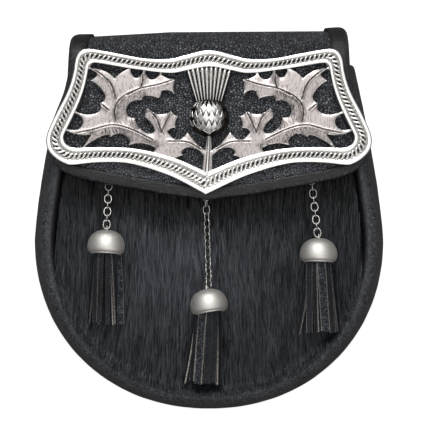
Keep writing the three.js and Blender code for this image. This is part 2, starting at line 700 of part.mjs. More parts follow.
function flapBinding() {
  const half = flapEdgeHalf();
  const left = half.slice(0, -1).reverse().map((p) => new THREE.Vector2(-p.x, p.y));
  const path = [...half, ...left];
  const rings = path.map((point, i) => {
    const before = path[Math.max(0, i - 1)];
    const after = path[Math.min(path.length - 1, i + 1)];
    const along = after.clone().sub(before).normalize();
    const inward = new THREE.Vector2(along.y, -along.x);
    const lowness = 1 - Math.min(1, Math.abs((2 * point.x) / FLAP_WIDTH));
    const onSide = point.y > FLAP_CORNER_Y;
    const rise = Math.min(1, (point.y - FLAP_CORNER_Y) / FLAP_EDGE_RISE);
    const width = onSide
      ? THREE.MathUtils.lerp(BINDING_CORNER, BINDING_SIDE, rise)
      : THREE.MathUtils.lerp(BINDING_CORNER, BINDING_TIP, Math.min(1, 2 * lowness));
    return bindingSection(width).map(([inset, height]) => (
      flapPoint(point.x + inward.x * inset, point.y + inward.y * inset, height)
    ));
  });
  const ends = bindingSection(BINDING_SIDE).map(([x, y]) => new THREE.Vector2(x, y));
  return skin(rings, capFaces(ends));
}

// A folded tab: two layers flat between the back and the flap's tail, and a loop round the ring's bar.
const TAB_HOLE = RING_WIRE / 2 + FIT;
const TAB_LOOP = TAB_HOLE + TAB_LAYER;
const RING_BAR_Y = BACK_TOP_Y + TAB_LOOP + FIT + FIT;
function strapTab() {
  const low = BACK_WALL + FIT;
  const high = low + 2 * TAB_LAYER;
  const lowAngle = Math.PI + Math.asin((RING_AXIS_Z - low) / TAB_LOOP);
  const highAngle = Math.PI - Math.asin((high - RING_AXIS_Z) / TAB_LOOP);
  const shape = new THREE.Shape();
  shape.moveTo(BACK_TOP_Y - TAB_LENGTH, low);
  shape.absarc(RING_BAR_Y, RING_AXIS_Z, TAB_LOOP, lowAngle - 2 * Math.PI, highAngle, false);
  shape.lineTo(BACK_TOP_Y - TAB_LENGTH, high);
  const hole = new THREE.Path();
  hole.absarc(RING_BAR_Y, RING_AXIS_Z, TAB_HOLE, 0, 2 * Math.PI, true);
  shape.holes.push(hole);
  const tab = new THREE.ExtrudeGeometry(shape, { depth: TAB_WIDTH, bevelEnabled: false, curveSegments: 9 });
  tab.rotateX(Math.PI / 2).rotateZ(Math.PI / 2);
  return tab;
}

// A D shaped ring lying flat, its straight bar through the tab's loop.
function strapRing() {
  const half = (RING_WIDTH + RING_WIRE) / 2;
  const path = [new THREE.Vector2(-half, 0), new THREE.Vector2(half, 0)];
  const steps = 10;
  for (let i = 1; i < steps; i += 1) {
    const angle = (Math.PI * i) / steps;
    const bulge = 0.25 + 0.75 * Math.sin(angle);
    path.push(new THREE.Vector2(half * Math.cos(angle), bulge * (RING_HEIGHT + RING_WIRE)));
  }
  return closedTube(path, RING_WIRE, 6);
}

// Half of a plate outline as points, closed with its mirror image.
function mirrored(half) {
  const left = half.slice(1, -1).reverse().map((p) => new THREE.Vector2(-p.x, p.y));
  return [...half, ...left];
}

function plateX(share) {
  return share * (PLATE_WIDTH / 2);
}

function plateY(share) {
  return PLATE_TIP_Y + share * PLATE_HEIGHT;
}

function plateBorder() {
  const half = PLATE_BORDER.map((row) => ({
    outer: new THREE.Vector2(plateX(row.x), plateY(row.y)),
    inner: new THREE.Vector2(plateX(row.u), plateY(row.v)),
  }));
  const flip = (p) => new THREE.Vector2(-p.x, p.y);
  const left = half.slice(1, -1).reverse()
    .map((row) => ({ outer: flip(row.outer), inner: flip(row.inner) }));
  const rings = [...half, ...left].map(({ outer, inner }) => BORDER_SECTION.map(({ across, up }) => {
    const at = outer.clone().lerp(inner, across);
    return new THREE.Vector3(at.x, at.y, PLATE_Z + up * BORDER_HEIGHT);
  }));
  return skin(rings);
}

// A window's outline: its corners joined by arcs that bow out of it or into it.
function windowOutline(rows, side) {
  const points = [];
  rows.forEach((row, i) => {
    const next = rows[(i + 1) % rows.length];
    const from = new THREE.Vector2(plateX(row.x), plateY(row.y));
    const to = new THREE.Vector2(plateX(next.x), plateY(next.y));
    const chord = to.clone().sub(from);
    const out = new THREE.Vector2(chord.y, -chord.x);
    const steps = row.bow === 0 ? 1 : Math.min(4, 2 + Math.floor(Math.abs(row.bow) * 7));
    for (let k = 0; k < steps; k += 1) {
      const share = k / steps;
      points.push(from.clone().addScaledVector(chord, share)
        .addScaledVector(out, 4 * row.bow * share * (1 - share)));
    }
  });
  return points.map((p) => new THREE.Vector2(side * p.x, p.y));
}

function leafWork() {
  const rim = mirrored(PLATE_BORDER.map((row) => (
    new THREE.Vector2(plateX((row.x + row.u) / 2), plateY((row.y + row.v) / 2))
  )));
  const sheet = new THREE.ExtrudeGeometry(new THREE.Shape(rim), { depth: LEAF_THICKNESS, bevelEnabled: false });
  sheet.translate(0, 0, PLATE_Z);
  let solid = toSolid(sheet);
  for (const side of [-1, 1]) {
    for (const rows of WINDOWS) {
      const cutter = new THREE.ExtrudeGeometry(new THREE.Shape(windowOutline(rows, side)), {
        depth: 3 * LEAF_THICKNESS, bevelEnabled: false,
      });
      cutter.translate(0, 0, PLATE_Z - LEAF_THICKNESS);
      solid = solid.subtract(toSolid(cutter));
    }
  }
  return fromSolid(solid);
}

// A raised vein: a low ridge that runs out to nothing at both ends.
function vein(row, side) {
  const curve = new THREE.QuadraticBezierCurve(
    new THREE.Vector2(side * plateX(row.x), plateY(row.y)),
    new THREE.Vector2(side * plateX(row.mx), plateY(row.my)),
    new THREE.Vector2(side * plateX(row.ex), plateY(row.ey)),
  );
  const base = PLATE_Z + LEAF_THICKNESS / 2;
  const top = LEAF_THICKNESS / 2 + VEIN_HEIGHT;
  const rings = [0, 0.33, 0.67, 1].map((share) => {
    const at = curve.getPoint(share);
    const along = curve.getTangent(share);
    const grow = 0.4 + 0.6 * Math.sin(Math.PI * share);
    const across = new THREE.Vector2(along.y, -along.x).multiplyScalar((VEIN_WIDTH / 2) * grow);
    return [
      new THREE.Vector3(at.x + across.x, at.y + across.y, base),
      new THREE.Vector3(at.x, at.y, base + top * (0.6 + 0.4 * grow)),
      new THREE.Vector3(at.x - across.x, at.y - across.y, base),
    ];
  });
  return skin(rings, fanFaces(3));
}

// The thistle's bulb: half an egg whose scales stand out in rows of points.
function thistleBulb() {
  const sides = 16;
  const levels = [0, 0.25, 0.5, 0.75, 0.95];
  const middle = PLATE_TIP_Y + BULB_RISE;
  const rings = levels.map((level, row) => {
    const angle = level * (Math.PI / 2);
    return Array.from({ length: sides }, (_, k) => {
      const turn = (2 * Math.PI * k) / sides;
      const scale = row > 0 && (k + row) % 2 === 0 ? 1.05 : 1;
      return new THREE.Vector3(
        (BULB_WIDTH / 2) * Math.cos(angle) * Math.cos(turn) * scale,
        middle + (BULB_LENGTH / 2) * Math.cos(angle) * Math.sin(turn) * scale,
        PLATE_Z + BULB_HEIGHT * Math.sin(angle) * scale,
      );
    });
  });
  return skin(rings, fanFaces(sides));
}

// The thistle's tuft: a fan of ribs from the bulb up to the border.
function thistleTuft() {
  const low = PLATE_TIP_Y + BULB_RISE + 0.42 * BULB_LENGTH;
  const high = plateY(0.92);
  const rings = [0, 0.5, 1].map((share) => {
    const half = THREE.MathUtils.lerp(TUFT_NECK_WIDTH, TUFT_TOP_WIDTH, share) / 2;
    const y = THREE.MathUtils.lerp(low, high, share);
    const rise = THREE.MathUtils.lerp(TUFT_HEIGHT, BORDER_HEIGHT, share);
    const ribs = Array.from({ length: 2 * TUFT_RIBS + 1 }, (_, k) => {
      const across = (k / TUFT_RIBS - 1) * half;
      const crown = rise * (1 - 0.3 * (k / TUFT_RIBS - 1) ** 2);
      return new THREE.Vector3(across, y, PLATE_Z + crown * (k % 2 === 0 ? 0.82 : 1));
    });
    return [new THREE.Vector3(-half, y, PLATE_Z), ...ribs, new THREE.Vector3(half, y, PLATE_Z)];
  });
  return skin(rings, capFaces(rings[0].map((p) => new THREE.Vector2(p.x, p.z))));
}

function thistleStem() {
  const top = PLATE_TIP_Y + BULB_RISE - 0.45 * BULB_LENGTH;
  const foot = plateY(0.12);
  const rings = [0, 0.5, 1].map((share) => {
    const half = THREE.MathUtils.lerp(STEM_TOP_WIDTH, STEM_FOOT_WIDTH, share) / 2;
    const y = THREE.MathUtils.lerp(top, foot, share);
    return [[-1, 0], [-1, 0.5], [-0.5, 1], [0.5, 1], [1, 0.5], [1, 0]].map(([across, up]) => (
      new THREE.Vector3(across * half, y, PLATE_Z + up * STEM_HEIGHT)
    ));
  });
  return skin(rings, fanFaces(6));
}

// A post under the border that stands on the pebbled panel.
function platePost(row, side) {
  const height = PLATE_Z - (FRONT_Z + FLAP_WALL / 2 + FIT);
  const post = new THREE.CylinderGeometry(POST_RADIUS, POST_RADIUS, height + LEAF_THICKNESS / 2, 6);
  const [x, y] = [side * plateX((row.x + 2 * row.u) / 3), plateY((row.y + 2 * row.v) / 3)];
  post.rotateX(Math.PI / 2).translate(x, y, PLATE_Z + (LEAF_THICKNESS / 2 - height) / 2);
  return post;
}

function plate() {
  const parts = [plateBorder(), leafWork(), thistleBulb(), thistleTuft(), thistleStem()];
  for (const side of [-1, 1]) {
    for (const row of VEINS) parts.push(vein(row, side));
    parts.push(platePost(PLATE_BORDER[5], side), platePost(PLATE_BORDER[23], side));
  }
  return fused(parts);
}

function closureStud() {
  const low = hideZ(0, STUD_Y) + FIT;
  const high = FRONT_Z - FLAP_WALL / 2 - FIT;
  const stud = new THREE.CylinderGeometry(STUD_RADIUS, STUD_RADIUS, high - low, 16);
  stud.rotateX(Math.PI / 2).translate(0, STUD_Y, (low + high) / 2);
  return stud;
}

// A small eye on the hide: a round foot with an arch of wire standing on it along the chain.
function chainEye() {
  const foot = new THREE.CylinderGeometry(EYE_BASE_RADIUS, EYE_BASE_RADIUS, EYE_BASE_HEIGHT, 10);
  foot.rotateX(Math.PI / 2).translate(0, 0, EYE_BASE_HEIGHT / 2);
  const crown = Array.from({ length: 6 }, (_, i) => {
    const angle = (Math.PI * i) / 5;
    const up = EYE_BASE_HEIGHT + EYE_LEG + EYE_RADIUS * Math.sin(angle);
    return new THREE.Vector2(EYE_RADIUS * Math.cos(angle), up);
  });
  const legs = [EYE_RADIUS, -EYE_RADIUS].map((y) => new THREE.Vector2(y, EYE_BASE_HEIGHT / 2));
  const arch = openTube([legs[0], ...crown, legs[1]], EYE_WIRE, WIRE_SIDES);
  arch.rotateX(Math.PI / 2).rotateZ(Math.PI / 2);
  return fused([foot, arch]);
}

// One link, its length along Y and flat in XY.
function link() {
  const [half, reach] = [(LINK_WIDTH - LINK_WIRE) / 2, HOOK_REACH];
  const right = [[0.45, 1], [1, 0.45], [1, -0.45], [0.45, -1]];
  const left = right.map(([x, y]) => [-x, y]).reverse();
  const path = [...right, ...left].map(([x, y]) => new THREE.Vector2(x * half, y * reach));
  return closedTube(path, LINK_WIRE, WIRE_SIDES);
}

// A hollow dome, mouth down at the origin, with a loop of wire through its crown.
function tasselCap(bailRoll) {
  const inner = CAP_RADIUS - CAP_WALL;
  const wall = [
    [0, CAP_HEIGHT], [0.45, 0.93], [0.75, 0.75], [0.93, 0.5], [1, 0.2], [1, 0],
  ].map(([x, y], i) => new THREE.Vector2(x * CAP_RADIUS, i === 0 ? y : y * CAP_HEIGHT));
  const lining = [[1, 0], [1, 0.2], [0.9, 0.5], [0.68, 0.75], [0, 0.93]]
    .map(([x, y]) => new THREE.Vector2(x * inner, y * (CAP_HEIGHT - CAP_WALL)));
  const dome = new THREE.LatheGeometry([...wall, ...lining], 12);
  const ring = Array.from({ length: 8 }, (_, k) => {
    const angle = (2 * Math.PI * k) / 8;
    return new THREE.Vector2(BAIL_RADIUS * Math.cos(angle), BAIL_RADIUS * Math.sin(angle));
  });
  const bail = closedTube(ring, BAIL_WIRE, WIRE_SIDES);
  bail.rotateY(bailRoll).translate(0, CAP_HEIGHT + BAIL_WIRE / 4, 0);
  return fused([dome, bail]);
}

// A strip of leather through a row of middle points, its width held across a given direction.
function strip(points, across) {
  const rings = points.map((point, i) => {
    const before = points[Math.max(0, i - 1)];
    const after = points[Math.min(points.length - 1, i + 1)];
    const along = after.clone().sub(before).normalize();
    const side = across.clone().addScaledVector(along, -along.dot(across)).normalize();
    const face = along.clone().cross(side);
    return [[-1, -1], [1, -1], [1, 1], [-1, 1]].map(([a, b]) => point.clone()
      .addScaledVector(side, (a * STRIP_WIDTH) / 2).addScaledVector(face, (b * STRIP_THICKNESS) / 2));
  });
  return skin(rings, fanFaces(4));
}

// A tassel in its cap's frame: a round head inside the cap, and strips that lie down on the hide.
function tassel(cap, splay) {
  const inner = CAP_RADIUS - CAP_WALL - FIT - FIT;
  const head = new THREE.CylinderGeometry(0.93 * inner, inner, HEAD_HEIGHT, 12);
  head.translate(0, HEAD_HEIGHT / 2 + FIT, 0);
  const parts = [head];
  const round = inner - STRIP_THICKNESS / 2 - 2 * FIT;
  const toWorld = cap.matrixWorld;
  const toCap = toWorld.clone().invert();
  const addStrip = (angle, reach, leftMost) => {
    const [c, s] = [Math.cos(angle), Math.sin(angle)];
    const middle = [0.5 * HEAD_HEIGHT, -0.3 * STRIP_LENGTH, -STRIP_LENGTH];
    const points = middle.map((y, i) => {
      const down = i / (middle.length - 1);
      const x = c * round * reach * (1 + 0.12 * down) + (leftMost ? splay * CAP_RADIUS * down ** 2 : 0);
      const start = new THREE.Vector3(x, y, s * round * reach);
      if (i === 0) return start;
      const world = start.clone().applyMatrix4(toWorld);
      const floor = hideZ(world.x, world.y) + FIT + STRIP_THICKNESS;
      const lying = floor + ((1 + s * reach) / 2) * TASSEL_LIE_HEIGHT;
      world.z = THREE.MathUtils.lerp(world.z, lying, Math.min(1, 1.35 * down));
      return world.applyMatrix4(toCap);
    });
    parts.push(strip(points, new THREE.Vector3(-s, 0, c)));
  };
  for (let k = 0; k < STRIPS_ROUND; k += 1) {
    const angle = (2 * Math.PI * (k + 0.5)) / STRIPS_ROUND;
    addStrip(angle, 1, Math.cos(angle) < -0.9 * Math.cos(Math.PI / STRIPS_ROUND));
  }
  for (let k = 0; k < STRIPS_INSIDE; k += 1) addStrip(Math.PI / 2 + (2 * Math.PI * k) / STRIPS_INSIDE, 0.42, false);
  return fused(parts);
}

// A drop: its eye, its chain along the route, its cap and its tassel.
function buildDrop(parent, drop) {
  const start = HOOK_REACH + EYE_RADIUS - EYE_WIRE / 2 - LINK_WIRE / 2 - LINK_PLAY / 2;
  const apexRun = start + (drop.links - 1) * LINK_PITCH + HOOK_REACH + LINK_WIRE / 2 + LINK_PLAY / 2;
  const [first, last] = [drop.route[0], drop.route[drop.route.length - 1]];
  const eyeY = flapLowerEdge(drop.eye * HALF_BAG) + drop.cover * EYE_COVER;
  const routePoint = ({ down, lift }) => {
    const x = THREE.MathUtils.mapLinear(down, first.down, last.down, drop.eye, drop.end) * HALF_BAG;
    const y = eyeY - down * apexRun;
    return new THREE.Vector3(x, y, hideZ(x, y) + lift);
  };
  const beyond = { down: last.down + CAP_HEIGHT / apexRun, lift: last.lift };
  const route = new THREE.CatmullRomCurve3([...drop.route, beyond].map(routePoint), false, 'centripetal');
  const length = route.getLength();

  const foot = routePoint(first);
  const eye = piece(parent, `chain_eye_${drop.name}`, chainEye(), wireMetal);
  eye.position.set(foot.x, foot.y, foot.z - first.lift + FIT);

  const step = (run) => route.getPointAt(Math.min(1, run / length));
  for (let i = 0; i < drop.links; i += 1) {
    const run = start + i * LINK_PITCH;
    const name = `chain_${drop.name}_link_${String(i + 1).padStart(2, '0')}`;
    const mesh = piece(parent, name, link(), wireMetal);
    const along = step(run - HOOK_REACH).sub(step(run + HOOK_REACH)).normalize();
    const roll = THREE.MathUtils.degToRad(linkRoll(drop, i));
    const flat = new THREE.Vector3(0, 0, 1).addScaledVector(along, -along.z).normalize();
    const side = along.clone().cross(flat);
    const turned = side.clone().multiplyScalar(Math.cos(roll)).addScaledVector(flat, Math.sin(roll));
    mesh.matrix.makeBasis(turned, along, turned.clone().cross(along));
    mesh.quaternion.setFromRotationMatrix(mesh.matrix);
    mesh.position.copy(step(run));
  }

  const apex = step(apexRun);
  const lastRoll = THREE.MathUtils.degToRad(linkRoll(drop, drop.links - 1));
  const cap = piece(parent, `tassel_cap_${drop.name}`, tasselCap(Math.PI / 2 - lastRoll), satinMetal);
  const tilt = THREE.MathUtils.degToRad(drop.tilt);
  cap.rotation.z = tilt;
  const down = new THREE.Vector3(Math.sin(tilt), -Math.cos(tilt), 0);
  cap.position.copy(apex).addScaledVector(down, CAP_HEIGHT);
  const resting = [0.3, 0.7, 1].map((share) => {
    const at = apex.clone().addScaledVector(down, share * CAP_HEIGHT);
    return hideZ(at.x, at.y) + CAP_LIFT;
  });
  cap.position.z = Math.max(...resting);
  cap.updateMatrixWorld();

  const strips = piece(parent, `tassel_${drop.name}`, tassel(cap, drop.splay), leather);
  strips.position.copy(cap.position);
  strips.rotation.copy(cap.rotation);
}

// Roll of a link about the chain: every second one stands across, and the chain may twist.
function linkRoll(drop, i) {
  const twist = Math.min(45, drop.twist * i);
  return twist + (i % 2) * 90;
}

const sporran = new THREE.Group();

const bag = new THREE.Group();
sporran.add(bag);
piece(bag, 'back_panel', backPanel(), leather);
piece(bag, 'gusset', gusset(), leather);
piece(bag, 'front_panel', frontPanel(), fur);
piece(bag, 'closure_stud', closureStud(), satinMetal);

const flap = new THREE.Group();
sporran.add(flap);
piece(flap, 'flap_panel', flapPanel(), pebbled);
piece(flap, 'flap_binding', flapBinding(), leather);
piece(flap, 'plate', plate(), castMetal);

const strapHolders = new THREE.Group();
sporran.add(strapHolders);
for (const [name, side] of [['left', -1], ['right', 1]]) {
  const x = (side * RING_SPACING) / 2;
  piece(strapHolders, `strap_tab_${name}`, strapTab(), leather).position.x = x - TAB_WIDTH / 2;
  piece(strapHolders, `strap_ring_${name}`, strapRing(), wireMetal).position.set(x, RING_BAR_Y, RING_AXIS_Z);
}

const drops = new THREE.Group();
sporran.add(drops);
for (const drop of DROPS) buildDrop(drops, drop);

export default sporran;
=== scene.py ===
"""Dresses the sporran pouch: moulded leather, fur, a cast thistle plate, chains and cut leather tassels."""
import math

import bmesh
import bpy
import numpy as np
from mathutils import Matrix, Vector, kdtree
from mathutils.geometry import delaunay_2d_cdt


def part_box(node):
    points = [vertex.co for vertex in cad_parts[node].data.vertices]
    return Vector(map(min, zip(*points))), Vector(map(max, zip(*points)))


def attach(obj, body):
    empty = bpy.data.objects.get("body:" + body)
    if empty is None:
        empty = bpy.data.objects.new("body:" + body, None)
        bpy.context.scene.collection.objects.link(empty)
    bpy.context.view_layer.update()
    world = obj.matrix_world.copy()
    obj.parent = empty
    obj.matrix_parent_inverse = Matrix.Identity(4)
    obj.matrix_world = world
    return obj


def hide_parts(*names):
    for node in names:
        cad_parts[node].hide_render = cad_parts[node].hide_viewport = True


bl_info = {
    "name": "Sporran Pouch",
    "version": (1, 0, 0),
    "blender": (4, 5, 0),
    "location": "View3D > Sidebar > Sporran",
    "description": "Builds the leather, fur, cast metal and chains of a sporran around its solid parts",
    "category": "Object",
}

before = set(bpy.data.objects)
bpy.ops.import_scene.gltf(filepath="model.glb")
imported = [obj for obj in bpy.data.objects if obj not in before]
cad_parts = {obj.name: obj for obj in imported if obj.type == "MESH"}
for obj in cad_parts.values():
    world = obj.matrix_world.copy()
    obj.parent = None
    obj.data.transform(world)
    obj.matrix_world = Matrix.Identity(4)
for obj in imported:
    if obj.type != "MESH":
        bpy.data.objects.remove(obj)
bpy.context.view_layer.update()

MM = 0.001


def cad_box(node):
    """A solid's lowest and highest corner in millimetres."""
    return tuple(np.array(corner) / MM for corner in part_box(node))


# Bag outline and levels, in millimetres, from the solids and the shape that they share
GUSSET_LOW, GUSSET_HIGH = cad_box("gusset")
HALF_BAG = GUSSET_HIGH[0]
BAG_RISE = GUSSET_HIGH[1]
BAG_DROP = -GUSSET_LOW[1]
CREST_Z = GUSSET_HIGH[2]
SEAM_Z = GUSSET_LOW[2]
TOP_TAPER = 15.4
TAPER_POWER = 1.35
BELLY_POWER = 2.1
ROLL_WIDTH = 10.75
GUSSET_WALL = 2.0
GUSSET_END_ROUND = 3.0
BACK_INSET = 2.0
BACK_EAR = 9.6
BACK_TOP = BAG_RISE - 7.0
MOUTH_Y = BAG_RISE - 11.0
FIT = 0.3
HIDE_WALL = 3.0
HIDE_EDGE_Z = CREST_Z - 4.3
HIDE_CROWN = 3.0
LEFT_LEAN = 3.0
LEAN_START = 32.0
LEAN_REACH = 20.0
FUR_ROOTS = ((-80, -79), (80, 76))
FUR_MARGIN = 0.4
FUR_THINS_Y = 52.0
LOCKS = 1500
LOCK_MIDDLES = ((-84, -84), (84, 80))
FUR_ABOVE_ROLL = 2.4
STITCH_WIDTH = 0.5
# Edge of the back, from its outer face to its inner one: inset, height
BACK_EDGE = ((0.45, 0), (0.1, 0.25), (0, 0.7), (0, 1.4), (0.3, 1.9), (0.8, 2.0))

# Flap
BINDING_LOW, BINDING_HIGH = cad_box("flap_binding")
PANEL_LOW, PANEL_HIGH = cad_box("flap_panel")
FLAP_HALF = BINDING_HIGH[0]
FLAP_TIP_Y = BINDING_LOW[1]
FLAP_WALL = 2.0
BINDING_HALF = 2.5
BINDING_WIDTH = 5.2
BINDING_NOSE = 2.8
BINDING_ROUNDING = 0.45
PANEL_INSET = 1.9
FRONT_Z = PANEL_HIGH[2] - FLAP_WALL / 2
TAIL_Z = PANEL_LOW[2] + FLAP_WALL / 2
FOLD_TOP_Y = FLAP_TIP_Y + 84.5
FOLD_FRONT_Y = FOLD_TOP_Y - 13.0
FOLD_BACK_Y = FOLD_TOP_Y - 29.0
TAIL_LENGTH = 12.0
EAR_DEPTH = 12.0
TOP_NARROWING = 10.0
TOP_ROUNDING = 2.0
TAIL_NARROWING = 19.0
FOLD_STEPS = 60
FLAP_CORNER_Y = FLAP_TIP_Y + 21.5
SIDE_DROOP = 1.5
# Fold: how much higher than the solid's the real one's top edge runs, from left to right, as (x, rise)
FOLD_RISE = ((-72, -1.1), (-60, -0.9), (-20, 1.2), (30, 1.5), (60, 1.7), (72, 2.3))

# Plate
PLATE_HALF = FLAP_HALF + 2.8
PLATE_TIP_Y = cad_box("plate")[0][1]
PLATE_HEIGHT = 74.2
PLATE_Z = FRONT_Z + BINDING_HALF + FIT
LEAF_TOP = 1.6
LEAF_GRID = 0.95
VEIN_WIDTH = 0.24
EDGE_ROUNDING = 0.16
TIP_LEAN = 1.8
TIP_SHARE = 0.38
ROPE_MIDDLE = 0.505
POST_RADIUS = 2.4

# Thistle
BULB_Y = PLATE_TIP_Y + 39.7
BULB_RADIUS = 9.8
BULB_RISE = 8.0
SCALE_ROWS = 4.05
SCALES_ROUND = 10
RAY_ANGLES = (-62, -31, 0, 31, 62)
RAY_RADIUS = 0.46
TUFT_RIBS = 10

# Chains, tassels and strap rings
LINK_HALF = (2.325, 1.75)
LINK_WIRE = 0.34
EYE_RADIUS = 1.4
EYE_WIRE = 0.4
CAP_RADIUS = 9.65
CAP_HEIGHT = 12.0
BAIL_RADIUS = 1.7
BAIL_WIRE = 0.45
LIP_RADIUS = 7.2
LIP_WIRE = 0.4
OUTER_STRIPS = 11
INNER_STRIPS = 5
STRIP_LENGTH = 36.5
STRIP_HIDDEN = 3.0
STRIP_RING = 5.8
STRIP_FLARE = 2.0
TASSEL_LIFT = 1.1
TASSEL_DEPTH = 7.6
STRIP_HALF_THICKNESS = 0.8
TAB_FOLD_RADIUS = 3.05
RING_HALF = 11.25
RING_DROP = 13.5
RING_WIRE = 1.22

# Floor, in millimetres, and camera, in metres: the width and the middle of the picture, and its height
FLOOR_HALF = 3000.0
FLOOR_Z = -0.27
PICTURE_WIDTH = 0.2212
PICTURE_MIDDLE = (0.0031, 0.0128)
PICTURE_Z = 0.038
CAMERA_DISTANCE = 3.0

# Gusset section, from the back seam to the lip of the roll: share of the roll's width, share of the depth
GUSSET_SECTION = ((0.28, 0), (0, 0.28), (0.03, 0.66), (0.28, 0.92), (0.62, 1), (0.86, 0.98), (1, 0.89))
# Flap side: share of the height from corner to fold, share of the half width
FLAP_SIDE = ((0, 1), (0.12, 0.996), (0.26, 0.975), (0.46, 0.932), (0.62, 0.909), (0.8, 0.899), (1, 0.893))
# Flap lower edge: shares of the half width and of the rise to the corner
FLAP_EDGE = (
    (0, 0), (0.16, 0.08), (0.28, 0.13), (0.37, 0.2), (0.54, 0.31), (0.67, 0.4), (0.79, 0.49),
    (0.89, 0.61), (0.95, 0.75), (0.99, 0.94), (1, 1),
)
# Half of the plate's border: outer edge (x, y) and inner edge (x, y) as shares of half width and height
PLATE_BORDER = (
    (0, 1, 0, 0.885), (0.151, 0.964, 0.126, 0.861), (0.229, 0.942, 0.215, 0.841),
    (0.323, 0.938, 0.316, 0.846), (0.417, 0.946, 0.403, 0.859), (0.543, 0.973, 0.525, 0.879),
    (0.668, 0.999, 0.638, 0.902), (0.746, 1.009, 0.699, 0.911), (0.792, 0.991, 0.722, 0.903),
    (0.817, 0.938, 0.734, 0.885), (0.828, 0.858, 0.743, 0.832), (0.848, 0.77, 0.761, 0.741),
    (0.88, 0.681, 0.792, 0.639), (0.934, 0.566, 0.838, 0.524), (0.981, 0.451, 0.881, 0.426),
    (0.996, 0.389, 0.888, 0.396), (0.993, 0.336, 0.883, 0.371), (0.974, 0.291, 0.871, 0.35),
    (0.934, 0.248, 0.85, 0.334), (0.887, 0.217, 0.827, 0.327), (0.84, 0.205, 0.8, 0.326),
    (0.699, 0.221, 0.68, 0.33), (0.543, 0.222, 0.531, 0.327), (0.425, 0.199, 0.403, 0.311),
    (0.308, 0.159, 0.268, 0.276), (0.19, 0.108, 0.143, 0.23), (0, 0, 0, 0.158),
)
# Border section, from its outer edge to its inner one: share of its width, height
BORDER_SECTION = (
    (0, 0), (0, 1.7), (0.012, 2.2), (0.035, 2.42), (0.07, 2.5), (0.2, 2.5), (0.245, 2.42), (0.268, 2.1),
    (0.285, 1.35), (0.3, 1.3), (0.325, 1.55), (0.505, 1.5), (0.685, 1.55), (0.71, 1.3), (0.725, 1.35),
    (0.742, 2.1), (0.765, 2.42), (0.81, 2.5), (0.93, 2.5), (0.965, 2.42), (0.988, 2.2), (1, 1.7), (1, 0),
)
# Pierced windows: corners as shares of half width and height, and the bow of the arc to the next corner
WINDOWS = (
    ((0.732, 0.882, 0), (0.709, 0.915, 0), (0.488, 0.872, -0.07), (0.576, 0.804, -0.1), (0.709, 0.873, 0)),
    (
        (0.755, 0.868, 0), (0.731, 0.868, 0.6), (0.723, 0.789, 0.08), (0.635, 0.687, 0.19),
        (0.666, 0.633, 0.24), (0.696, 0.561, 0.1), (0.811, 0.575, 0), (0.828, 0.584, 0),
    ),
    (
        (0.821, 0.563, 0.18), (0.77, 0.501, 0.2), (0.834, 0.446, 0), (0.865, 0.452, 0), (0.88, 0.47, 0),
        (0.834, 0.574, 0),
    ),
    (
        (0.87, 0.441, -0.09), (0.717, 0.419, 0), (0.768, 0.335, 0), (0.782, 0.31, 0), (0.86, 0.31, 0),
        (0.896, 0.359, 0), (0.896, 0.43, 0),
    ),
    (
        (0.756, 0.335, 0.05), (0.623, 0.415, 0.2), (0.604, 0.398, 0.26), (0.484, 0.373, 0),
        (0.489, 0.344, 0.11), (0.327, 0.324, 0.2), (0.338, 0.297, 0), (0.353, 0.269, 0),
        (0.488, 0.297, 0), (0.757, 0.304, 0),
    ),
    ((0.479, 0.879, 0), (0.405, 0.865, 0), (0.407, 0.84, 0.46), (0.479, 0.85, 0)),
    ((0.39, 0.868, 0), (0.301, 0.854, 0), (0.303, 0.827, 0.38), (0.391, 0.84, 0)),
    (
        (0.29, 0.855, 0), (0.127, 0.879, 0), (0.012, 0.9, 0), (0.012, 0.394, 0), (0.02, 0.304, 0.05),
        (0.13, 0.433, 0.36), (0.254, 0.433, 0.16), (0.205, 0.463, 0.11), (0.189, 0.54, 0.08),
        (0.232, 0.576, 0.19), (0.377, 0.6, -0.05), (0.393, 0.535, 0.09), (0.331, 0.446, 0.24),
        (0.38, 0.426, 0.14), (0.452, 0.532, 0.27), (0.506, 0.588, 0.16), (0.443, 0.652, 0),
        (0.409, 0.653, 0.15), (0.393, 0.683, 0.06), (0.311, 0.667, -0.15), (0.292, 0.716, 0.17),
        (0.213, 0.697, 0.09), (0.205, 0.801, 0.11), (0.29, 0.83, 0),
    ),
    (
        (0.162, 0.303, 0.15), (0.106, 0.326, 0.1), (0.025, 0.268, 0), (0.03, 0.165, 0), (0.047, 0.137, 0),
        (0.2, 0.22, 0), (0.195, 0.256, 0.05), (0.155, 0.273, 0.15),
    ),
)
# Engraved veins of one half, as shares
VEINS = (
    ((0.715, 0.878), (0.631, 0.806), (0.592, 0.748), (0.569, 0.66)),
    ((0.663, 0.629), (0.612, 0.585)),
    ((0.204, 0.803), (0.3, 0.765), (0.42, 0.735), (0.5, 0.69)),
    ((0.376, 0.595), (0.325, 0.535), (0.292, 0.44)),
    ((0.234, 0.57), (0.262, 0.505), (0.292, 0.43)),
    ((0.255, 0.37), (0.135, 0.365), (0.045, 0.315)),
    ((0.8, 0.43), (0.713, 0.45), (0.592, 0.482), (0.475, 0.452), (0.348, 0.382)),
    ((0.412, 0.838), (0.404, 0.79), (0.416, 0.743)),
    ((0.42, 0.735), (0.509, 0.691), (0.562, 0.636), (0.578, 0.572), (0.569, 0.505)),
)
